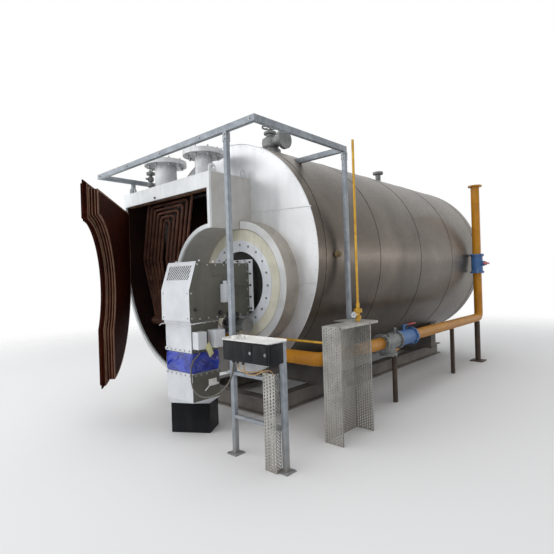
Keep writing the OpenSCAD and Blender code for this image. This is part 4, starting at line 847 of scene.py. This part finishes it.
# its outline drawn in by a margin, as points of x and z
def crescentOutline(margin, top, steps=40):
    outer, inner = chamberRadius - margin, insulationRadius + margin
    right, low = chamberHigh.x - margin, lowerRight - margin

    def arc(x, z, radius, start, end):
        return [(x + math.cos(angle) * radius, z + math.sin(angle) * radius)
                for angle in between(start, end, steps)]
    corner = math.atan2(-math.sqrt(outer ** 2 - low ** 2), low)
    upper, lower = math.acos((right - mouth.x) / inner), math.tau - math.acos((low - mouth.x) / inner)
    return [*arc(0, axisZ, outer, corner, -math.pi), (-outer, top), (right, top),
            *arc(mouth.x, mouth.z, inner, upper, lower)]


# furnace mouth: the bolt circle, the collar's face, its bands and its screws
mouthSettings = dict(bolts=20, boltCircle=0.449, bolt=(6, 0.0095, 0.009, 0.9, 0.014, 0.0025), reach=0.720,
    flatZ=0.847, faceSteps=240, faceThick=0.003, faceInner=0.632, faceInset=0.002, bandsAt=(0.004, 0.108),
    bandAcross=0.006, screws=26, screwsAt=0.085, screw=(8, 0.0055, 0.004, 0.6, 0.0075, 0.001))


def longestRuns(rings, gap=0.08):
    runs = []
    for ring in rings:
        runs.append([ring[0]])
        for point in ring[1:]:
            if (point - runs[-1][-1]).length < gap:
                runs[-1].append(point)
            else:
                runs.append([point])
    return [run for run in runs if len(run) > 2]


def makeMouth(bolts, boltCircle, bolt, reach, flatZ, faceSteps, faceThick, faceInner, faceInset, bandsAt,
              bandAcross, screws, screwsAt, screw):
    fasteners("mouthBolts", facing(ringOf(mouth, boltCircle, bolts, start=0.05)), bolt, "burner_mount_ring")
    back = Vector((0, faceThick, 0))
    bm = bmesh.new()
    rows = []
    for way in ringOf((0, 0, 0), 1, faceSteps, start=math.pi):
        out = reach - faceInset
        if way.z < 0:
            out = min(out, (flatZ - mouth.z) / way.z)
        near, far = mouth + way * faceInner, mouth + way * out
        if outsideChamber(near, 0.004) and outsideChamber(far, 0.004):
            rows.append((way, [bm.verts.new(v) for v in (near - back, far - back, far + back, near + back)]))
    for (way, row), (nextWay, following) in zip(rows, rows[1:] + rows[:1]):
        if (nextWay - way).length < 0.05:
            bridgeRows(bm, [row, following], closed=False)
    bmesh.ops.holes_fill(bm, edges=[edge for edge in bm.edges if edge.is_boundary], sides=4)
    placePiece("collarFace", finishMesh(bm), "brightAluminium", "furnace_collar")
    bands = [[spot for spot in ringOf(mouth + Vector((0, depth, 0)), reach, 160, start=math.pi)
              if outsideChamber(spot, 0.012) and spot.z > flatZ] for depth in bandsAt]
    bars("collarBands", longestRuns(bands), "collarSheet", "furnace_collar", bandAcross, closed=False)
    spots = [(spot, way) for spot, way in outwardRing(mouth + Vector((0, screwsAt, 0)), reach, screws, 0.1)
             if outsideChamber(spot, 0.03) and spot.z > flatZ + 0.02]
    fasteners("collarScrews", spots, screw, "furnace_collar")


makeMouth(**mouthSettings)

# the door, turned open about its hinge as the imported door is: step bars, rope, outer sheet and screws
doorSettings = dict(back=-0.626, plate=0.012, clad=0.020, rimStep=0.026, block=0.088, liningInset=0.022,
    stepInset=0.052, sheetInset=0.034, sheetThick=0.003, welds=(0.030, 0.060, 0.084), screwInset=0.068,
    screwGap=0.16, screw=(8, 0.006, 0.004, 0.6, 0.009, 0.001))
doorHinge, doorTurn = Vector((-1.438, -0.632, 0)), Matrix.Rotation(-math.radians(38.8), 3, "Z")
plateMargin, plateTop = 0.032, 2.578


def doorLoop(inset, y):
    outline = crescentOutline(plateMargin + inset, plateTop - inset)
    return [doorHinge + doorTurn @ (Vector((x, y, z)) - doorHinge) for x, z in outline]


def alongLoop(points, gap):
    total, wanted, found = 0.0, gap / 2, []
    for a, b in zip(points, points[1:] + points[:1]):
        length = (b - a).length
        while wanted < total + length:
            found.append(a.lerp(b, (wanted - total) / length))
            wanted += gap
        total += length
    return found


def makeDoor(back, plate, clad, rimStep, block, liningInset, stepInset, sheetInset, sheetThick, welds,
             screwInset, screwGap, screw):
    rim, face, second = back + rimStep, back - plate - clad, liningInset + stepInset
    outward = doorTurn @ Vector(towardsFront)
    flats = [doorLoop(liningInset + 0.009, rim + 0.0005), doorLoop(second + 0.011, rim + block + 0.0005)]
    bars("doorEdgeBars", flats, "edgeBrown", "door_lining", 0.020, 0.005, normal=tuple(outward), body="door")
    loops = [doorLoop(second - 0.001, rim + depth) for depth in welds]
    bars("doorBlockBars", loops, "edgeBrown", "door_lining", 0.009, body="door")
    bars("doorRope", [doorLoop(second - 0.012, rim + 0.005)], "gasketRope", "door_lining", 0.017, body="door")
    bm = bmesh.new()
    sides = [[bm.verts.new(spot + outward * lift) for spot in doorLoop(sheetInset, face)]
             for lift in (0, sheetThick)]
    for side in sides:
        bm.faces.new(side)
    bridgeRows(bm, sides, closed=False)
    placePiece("doorOuterSheet", finishMesh(bm), "brightAluminium", "door_cladding", "door")
    spots = alongLoop(doorLoop(screwInset, face - sheetThick), screwGap)
    fasteners("doorScrews", facing(spots, outward), screw, "door_cladding", body="door")


makeDoor(**doorSettings)
print("door dressed")

# chamber: brown edge of the lining behind the white frame, and the frame's stud
chamberSettings = dict(margin=0.0555, front=-0.590, rear=-0.520, thick=0.004, band=0.178, cornerBand=0.03,
    whiteFrom=2.30, whiteLeftOf=-0.6, studs=((-0.624, 2.625),), stud=(6, 0.010, 0.014, 0.9, 0.016, 0.003))


def makeChamberLip(margin, front, rear, thick, band, cornerBand, whiteFrom, whiteLeftOf, studs, stud):
    top = chamberHigh.z - band
    outline, inner = crescentOutline(margin, top), crescentOutline(margin + thick, top - thick)
    bm = bmesh.new()
    rows = [[bm.verts.new(v) for v in ((x0, front, z0), (x1, front, z1), (x1, rear, z1), (x0, rear, z0))]
            for (x0, z0), (x1, z1) in zip(outline, inner)]
    bridgeRows(bm, rows)
    placePiece("chamberLip", finishMesh(bm), "edgeBrown", "chamber_lining")
    # sooty at the sides, and the white of the frame turns in at the upper left
    sideTop = top - cornerBand
    paintFaces("chamberLip", "sootySteel", lambda normal, middle: middle.z < sideTop)
    paintFaces("chamberLip", "frameWhite", lambda normal, middle: (
        middle.x < whiteLeftOf and whiteFrom < middle.z < sideTop))
    fasteners("frameStuds", facing((x, chamberLow.y, z) for x, z in studs), stud, "chamber_frame", "darkBolt")


makeChamberLip(**chamberSettings)
print("chamber dressed")

# bolts of the steam nozzles and of the gas line; a row is its place along the pipe, its way and its circle
flangeSettings = dict(
    nozzles=(("steam_inlet_nozzle", 0.217, 0.028), ("steam_outlet_nozzle", 0.187, 0.028)), stud=0.010,
    studLength=0.034, nut=(6, 0.018, 0.016, 0.9, 0.024, 0.003),
    gasBolt=(6, 0.0085, 0.009, 0.9, 0.011, 0.0015), gasX=1.550, gasZ=0.765, riserY=4.5, turn=0.39,
    frontRows=((0.990, -1, 0.096), (1.014, 1, 0.1035), (1.356, -1, 0.1035), (1.408, 1, 0.1035),
               (1.782, -1, 0.1035), (1.810, 1, 0.096)),
    riserRows=((1.550, -1, 0.096), (1.578, 1, 0.1035), (1.852, -1, 0.1035), (1.880, 1, 0.096)))


def makeFlangeBolts(nozzles, stud, studLength, nut, gasBolt, gasX, gasZ, riserY, turn, frontRows, riserRows):
    nuts, studs = [], []
    for nodeName, circle, thick in nozzles:
        low, high = boxOf(nodeName)
        middle = (low + high) / 2
        for top, way in ((high.z, 1), (high.z - 2 * thick, -1)):
            for spot in ringOf((middle.x, middle.y, top), circle, 8, upwards, math.pi / 8):
                nuts.append((spot, (0, 0, way)))
                studs.append((spot, spot + Vector((0, 0, way * studLength)), stud, 10))
    solidPiece("nozzleStuds", studs, "zincBolt", "steam_inlet_nozzle")
    fasteners("nozzleNuts", nuts, nut, "steam_inlet_nozzle")
    bolts = [(spot, (0, way, 0)) for y, way, circle in frontRows
             for spot in ringOf((gasX, y, gasZ), circle, 8, start=turn)]
    bolts += [(spot, (0, 0, way)) for z, way, circle in riserRows
              for spot in ringOf((gasX, riserY, z), circle, 8, upwards, turn)]
    fasteners("gasBolts", bolts, gasBolt, "gas_filter")


makeFlangeBolts(**flangeSettings)

# fittings of the gas line: support clamp, filter cover and plugs, levers, and the pilot line's gauge
gasSettings = dict(x=1.55, filterY=1.185, filterLow=0.615, leverY=1.595, clampY=1.320, clampTop=0.670,
    riserY=4.5, riserZ=1.715, gaugeLeft=0.044, gaugeY=0.162, gaugeZ=1.1843, coverCircle=0.092,
    coverBolt=(6, 0.008, 0.008, 0.9, 0.011, 0.0015))


def makeGasFittings(x, filterY, filterLow, leverY, clampY, clampTop, riserY, riserZ, gaugeLeft, gaugeY,
                    gaugeZ, coverCircle, coverBolt):
    solidPiece("supportClamp", (
        ((x - 0.050, clampY - 0.040, clampTop - 0.024), (x + 0.050, clampY + 0.040, clampTop)),
        uprightRod(x, clampY, clampTop - 0.075, clampTop - 0.020, 0.036, 20, 0.040)), "gasYellow",
        "gas_front_pipe", 0.003)
    plugX, plugY, cover = x + 0.03, filterY + 0.11, filterLow - 0.012
    solidPiece("filterFittings", (
        uprightRod(x, filterY, cover, filterLow + 0.022, 0.104, 32),
        uprightRod(x, filterY, filterLow - 0.034, filterLow - 0.010, 0.020, 6),
        uprightRod(x + 0.06, filterY - 0.10, 0.845, 0.885, 0.016, 20),
        uprightRod(plugX, plugY, 0.840, 0.905, 0.011, 16), uprightRod(plugX, plugY, 0.905, 0.925, 0.022, 6)),
        "valveIron", "gas_filter", 0.0015)
    spots = ringOf((x, filterY, cover), coverCircle, 8, upwards, 0.2)
    fasteners("filterBolts", facing(spots, (0, 0, -1)), coverBolt, "gas_filter")
    solidPiece("leverGrip", [((x - 0.019, leverY + 0.10, 0.911), (x + 0.019, leverY + 0.315, 0.929))],
               "redPlastic", "gas_ball_valve", 0.006, 3)
    solidPiece("riserLever", (
        ((x + 0.130, riserY, riserZ), (x + 0.165, riserY, riserZ), 0.030),
        ((x + 0.150, riserY - 0.16, riserZ - 0.015), (x + 0.162, riserY + 0.16, riserZ + 0.015))),
        "redPlastic", "gas_riser_valve", 0.003)

    def gauge(x, y, z):
        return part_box("pilot_gas_line")[1][0] - gaugeLeft + x, gaugeY + y, gaugeZ + z
    disc = (gauge(0, 0, 0), gauge(0, -0.003, 0), 0.029, 40)
    solidPiece("gaugeFace", [disc], "burnerWhite", "burner_flange")
    solidPiece("gaugeHand", (
        (gauge(-0.004, -0.004, -0.006), gauge(0.013, -0.004, 0.016), 0.0016, 8),
        (gauge(0, -0.0025, 0), gauge(0, -0.0065, 0), 0.004, 14)), "blackPlastic", "terminal_box")
    bars("gaugeRim", [ringOf(gauge(0, -0.002, 0), 0.031, 40)], "zincBolt", "pilot_gas_line", 0.007)


makeGasFittings(**gasSettings)
print("gas line dressed")

# blue film wound round the flexible joint of the air duct
wrapSettings = dict(inset=0.003, gap=0.004, bulge=0.020, along=2.4, across=11.0, slant=0.62, columns=260,
    rows=64, corner=0.020, seed=7.3)


def roundedLoop(low, high, corner, columns):
    corners = ((high.x - corner, low.y + corner), (high.x - corner, high.y - corner),
               (low.x + corner, high.y - corner), (low.x + corner, low.y + corner))
    points = []
    for (x, y), start in zip(corners, (-90, 0, 90, 180)):
        for angle in between(start, start + 90, 7):
            way = Vector((math.cos(math.radians(angle)), math.sin(math.radians(angle)), 0))
            points.append((Vector((x, y, 0)) + way * corner, way))
    lengths = [(points[(i + 1) % len(points)][0] - points[i][0]).length for i in range(len(points))]
    total, result = sum(lengths), []
    for k in range(columns):
        wanted, i = total * k / columns, 0
        while wanted > lengths[i]:
            wanted -= lengths[i]
            i += 1
        (a, wayA), (b, wayB) = points[i], points[(i + 1) % len(points)]
        share = wanted / lengths[i]
        result.append((a.lerp(b, share), wayA.lerp(wayB, share).normalized()))
    return result, total


def makeWrap(inset, gap, bulge, along, across, slant, columns, rows, corner, seed):
    low, high = boxOf("air_duct_wrapped")
    loop, around = roundedLoop(low, high, corner, columns)

    # how far the film stands out: creases run slantwise round the joint, each with its own depth
    def standsOut(point, z, belly):
        u = point.x - point.y
        length, height = u * math.cos(slant) + z * math.sin(slant), z * math.cos(slant) - u * math.sin(slant)
        crease = 1 - min(1, abs(noise.noise(Vector((length * along, height * across, seed)))) * 3.2)
        crumple = noise.fractal(Vector((length * 9, height * 34, 2.0)), 1.0, 2.2, 3)
        sag = 0.5 + 0.5 * noise.noise(Vector((u * 4, z * 7, 5.1)))
        return max(0.001, gap + bulge * belly * (0.15 + 0.45 * crease + 0.4 * sag + 0.10 * crumple))
    bm = bmesh.new()
    skin = []
    for share in between(0.0, 1.0, rows + 1):
        z = low.z + inset + (high.z - low.z - 2 * inset) * share
        belly = math.sin(math.pi * share) ** 0.6
        skin.append([bm.verts.new(Vector((point.x, point.y, z)) + way * standsOut(point, z, belly))
                     for point, way in loop])
    bridgeRows(bm, skin, closed=False)
    mesh = finishMesh(bm)
    for polygon in mesh.polygons:
        polygon.use_smooth = True
    piece = placePiece("blueWrap", mesh, "wrapBlue", "air_duct_wrapped", stands=("air_duct_wrapped",))


makeWrap(**wrapSettings)
print("wrap done")

# burner: its screws and studs
side = 0.660
screwSettings = dict(screw=(8, 0.0065, 0.004, 0.6, 0.009, 0.0012), stud=(6, 0.009, 0.018, 0.9, 0.013, 0.003),
    coverSpots=((-1.066, 1.215), (-1.066, 1.46), (-0.985, 1.745)), inset=0.018, studInset=0.016)


def makeBurnerScrews(screw, stud, coverSpots, inset, studInset):
    low, high = boxOf("burner_casing")
    coverLow, coverHigh = boxOf("burner_front_cover")
    spots = [(side, y, z) for z in (low.z + inset, high.z - inset) for y in between(-0.96, -0.31, 7)]
    spots += [(side, -0.30, z) for z in between(low.z + 0.09, high.z - 0.09, 5)]
    spots += [(coverHigh.x, y, z) for y, z in coverSpots]
    front = [(x, coverLow.y, z) for x in (0.222, 0.638) for z in (1.215, 1.46)]
    fasteners("casingScrews", facing(spots, towardsRight) + facing(front), screw, "burner_casing")
    low, high = boxOf("burner_flange")
    spots = [(x, low.y, z) for x in (high.x - studInset, low.x + studInset)
             for z in between(low.z + 0.03, high.z - 0.03, 5)]
    spots += [(x, low.y, high.z - studInset) for x in between(low.x + 0.10, high.x - 0.10, 4)]
    fasteners("flangeStuds", facing(spots), stud, "burner_neck", "darkBolt")


makeBurnerScrews(**screwSettings)

# burner: knobs, latches, rail, studs and actuator
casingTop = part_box("burner_casing")[1][2]
solidPiece("burnerKnobs", (
    ((side, -1.02, 1.300), (side + 0.022, -1.02, 1.300), 0.020, 20, 0.017),
    ((side, -0.700, 1.245), (side + 0.030, -0.700, 1.245), 0.026, 20, 0.020),
    ((0.200, -1.02, 1.300), (0.178, -1.02, 1.300), 0.020, 20, 0.017),
    ((side + 0.004, -0.640, 1.130), (side + 0.004, -0.560, 1.130), 0.030, 18),
    ((side, -0.600, 1.196), (side + 0.035, -0.470, 1.236))), "blackPlastic", "terminal_box", 0.003)
solidPiece("casingHandle", (
    ((side, -0.480, 1.500), (side + 0.008, -0.345, 1.535)),
    ((side + 0.014, -0.470, 1.5175), (side + 0.014, -0.355, 1.5175), 0.008, 16),
    ((side, -0.790, 1.615), (side + 0.004, -0.690, 1.665))), "burnerGreyAndShade", "burner_casing", 0.002)
railPath = ((0.150, -1.098, 1.128), (0.200, -1.106, 1.148), (0.270, -1.108, 1.158), (0.640, -1.108, 1.162),
            (0.684, -1.098, 1.163), (0.698, -1.066, 1.164), (0.700, -0.950, 1.168), (0.700, -0.620, 1.176))
bars("casingRail", [railPath], "fittingSteel", "steam_inlet_nozzle", 0.011, closed=False)
solidPiece("casingStuds", (
    uprightRod(0.640, -0.935, casingTop, casingTop + 0.036, 0.010, 16),
    uprightRod(0.640, -0.760, casingTop, casingTop + 0.028, 0.012, 6),
    uprightRod(0.250, -0.935, casingTop, casingTop + 0.036, 0.010, 16),
    ((0.560, -0.330, casingTop), (0.640, -0.275, casingTop + 0.030))),
    "fittingSteel", "steam_inlet_nozzle", 0.002)
solidPiece("servoCover", (
    ((side + 0.060, -0.680, 1.365), (side + 0.068, -0.620, 1.525)),
    uprightRod(side + 0.030, -0.650, 1.540, 1.572, 0.022),
    ((side, -0.612, 1.470), (side + 0.040, -0.560, 1.530))), "burnerWhite", "burner_controls", 0.004, 3)

# air duct: clips, screws and the damper's handle
ductSettings = dict(clipLow=1.150, clipHigh=1.205, clipHalf=0.012, sideClips=(-1.03, -0.90, -0.77),
    frontClips=(0.26, 0.425, 0.59), screwRows=(0.893, 0.650), screw=(6, 0.006, 0.005, 0.9, 0.010, 0.0012))


def makeDuct(clipLow, clipHigh, clipHalf, sideClips, frontClips, screwRows, screw):
    low, high = boxOf("air_duct")
    front, right = low.y + 0.002, high.x - 0.002
    clips = [((right - 0.010, y - clipHalf, clipLow), (right, y + clipHalf, clipHigh)) for y in sideClips]
    clips += [((x - clipHalf, front, clipLow), (x + clipHalf, front + 0.010, clipHigh)) for x in frontClips]
    solidPiece("ductClips", clips, "fittingSteel", "air_duct", 0.002)
    spots = facing((x, front, z) for z in screwRows for x in between(0.235, 0.615, 6))
    spots += facing(((right, y, z) for z in screwRows for y in between(-1.03, -0.75, 5)), towardsRight)
    fasteners("ductScrews", spots, screw, "air_duct")
    solidPiece("damperHandle", (
        ((0.645, -0.865, 0.515), (0.652, -0.765, 0.585)),
        ((0.650, -0.815, 0.55), (0.680, -0.815, 0.55), 0.012, 16),
        ((0.680, -0.860, 0.565), (0.680, -0.770, 0.535), 0.010, 16),
        ((0.662, -0.850, 0.540), (0.662, -0.925, 0.485), 0.006, 12)), "lidLight", "terminal_lead_a", 0.002)


makeDuct(**ductSettings)

# the blank tag, hung slantwise from its string
tagSettings = dict(place=(0.735, -0.915, 0.905), tilt=24, turn=12, half=(0.0012, 0.036), low=-0.070,
    high=0.060, string=((0.745, -0.905, 1.050), (0.745, -0.920, 1.010), (0.737, -0.935, 0.960)))


def makeTag(place, tilt, turn, half, low, high, string):
    thick, wide = half
    bm = bmesh.new()
    addBox(bm, (-thick, -wide, low), (thick, wide, high), Matrix.Translation(place) @ Matrix.Rotation(
        math.radians(tilt), 4, "X") @ Matrix.Rotation(math.radians(turn), 4, "Z"))
    placePiece("blankTag", finishMesh(bm, 0.0004), "tagYellow", "terminal_lid")
    bars("tagString", [string], "cableBeige", "terminal_lead_a", 0.003, closed=False)


makeTag(**tagSettings)
print("burner dressed")

# terminal box: door panels, locks, glands, and the shallow tray of its lid
terminalSettings = dict(inset=0.016, lift=0.005, split=0.66, gap=0.003, lockHeight=0.085, lockInset=0.022,
    lock=(12, 0.009, 0.006, 0.9, 0.013, 0.002), rim=0.010, backRim=0.022, sheet=0.004,
    glands=((1.278, -1.080, 0.012), (1.340, -1.090, 0.008), (1.430, -1.110, 0.008)))


def makeTerminalBox(inset, lift, split, gap, lockHeight, lockInset, lock, rim, backRim, sheet, glands):
    low, high = boxOf("terminal_box")
    middle = low.x + (high.x - low.x) * split
    bottom, top = low.z + inset, high.z - inset
    solidPiece("terminalPanels", (
        ((low.x + inset, low.y - lift, bottom), (middle - gap, low.y + 0.001, top)),
        ((middle + gap, low.y - lift, bottom), (high.x - inset, low.y + 0.001, top)),
        ((high.x - 0.001, low.y + inset, bottom), (high.x + lift, high.y - inset, top))),
        "blackPaint", "terminal_box", 0.003)
    spots = [(x - lockInset, low.y - lift, low.z + lockHeight) for x in (middle, high.x - inset)]
    fasteners("terminalLocks", facing(spots), lock, "terminal_stand")
    shapes = []
    for x, y, radius in glands:
        shapes.append(uprightRod(x, y, low.z, low.z - 0.012, 1.9 * radius, 6))
        shapes.append(uprightRod(x, y, low.z - 0.012, low.z - 0.034, 1.7 * radius, 16, 1.15 * radius))
    shapes.append(uprightRod(0.700, -1.000, 0.912, 0.900, 0.016, 6))
    shapes.append(((0.700, -1.000, 0.900), (0.700, -1.001, 0.878), 0.0135, 16, 0.0095))
    solidPiece("cableGlands", shapes, "blackPlastic", "terminal_box", 0.001)
    lidLow, lidHigh = boxOf("terminal_lid")
    west, south, east, north = low.x - sheet, low.y - sheet, high.x + sheet, lidHigh.y - sheet
    floor, top = lidLow.z, lidLow.z + sheet
    solidPiece("lidTray", (
        ((west, south, floor), (east, north, top)),
        ((west, south, floor), (east, south + sheet, floor + rim)),
        ((west, north - sheet, floor), (east, north, floor + backRim)),
        ((west, south, floor), (west + sheet, north, floor + backRim)),
        ((east - sheet, south, floor), (east, north, floor + rim))), "lidLight", "terminal_lid", 0.001,
        stands=("terminal_lid",))
    solidPiece("lidFittings", (
        uprightRod(west + 0.085, south + 0.075, top, top + 0.030, 0.034, 20, 0.030),
        uprightRod(west + 0.150, south + 0.120, top, top + 0.032, 0.010, 14)),
        "lidLight", "terminal_lid", 0.003)


makeTerminalBox(**terminalSettings)

# bolts, sockets and feet of the service frame
frameSettings = dict(postA=(1.144, -0.968), postB=(1.509, 0.402), leg=(1.754, -0.968), half=0.0225,
    plate=0.060, thick=0.008, apart=0.045, beam=0.060, socket=0.090, wall=0.003, drops=(0.025, 0.065),
    bolt=(6, 0.0085, 0.008, 0.9, 0.013, 0.002))


def makeFrameBolts(postA, postB, leg, half, plate, thick, apart, beam, socket, wall, drops, bolt):
    low, high = boxOf("service_frame")
    under, out = high.z - beam, half + wall
    shapes, spots = [], []
    for x, y in (postA, leg):
        shapes.append(((x - plate, y - plate, 0), (x + plate, y + plate, thick)))
        corners = [(x + dx, y + dy, thick) for dx in (-apart, apart) for dy in (-apart, apart)]
        spots += facing(corners, upwards)
    for x, y in (postA, postB):
        shapes.append(((x - out, y - out, under - socket), (x + out, y + out, under - 0.002)))
        spots += facing((x, y - out, under - drop) for drop in drops)
        spots += facing(((x + out, y, under - drop) for drop in drops), towardsRight)
    spots += facing((x, postA[1] - half, under + beam / 2) for x in between(low.x + 0.06, high.x - 0.06, 5))
    solidPiece("frameSockets", shapes, "galvanised", "service_frame", 0.0015)
    fasteners("frameBolts", spots, bolt, "service_frame")


makeFrameBolts(**frameSettings)

# rear end: manhole bolts, and a riveted joint ring
rearSettings = dict(manholeZ=2.441, manholeRadius=0.205, manholeLift=0.040, bolts=16, ring=1.17,
    ringAcross=0.006, rivets=56, rivetInset=0.025, bolt=(6, 0.012, 0.012, 0.9, 0.017, 0.003),
    rivet=(8, 0.0045, 0.0028, 0.55, 0.0045, 0.0004))


def makeRear(manholeZ, manholeRadius, manholeLift, bolts, ring, ringAcross, rivets, rivetInset, bolt, rivet):
    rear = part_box("rear_end")[1][1]
    spots = ringOf((0, rear + manholeLift, manholeZ), manholeRadius, bolts)
    fasteners("manholeBolts", facing(spots, towardsRear), bolt, "rear_manhole")
    joint = ringOf((0, rear + 0.0004, axisZ), ring, 160)
    bars("rearJoint", [joint], "shellAluminium", "rear_end", ringAcross)
    spots = ringOf((0, rear, axisZ), ring - rivetInset, rivets)
    fasteners("rearRivets", facing(spots, towardsRear), rivet, "rear_end")


makeRear(**rearSettings)
print("frame and rear dressed")
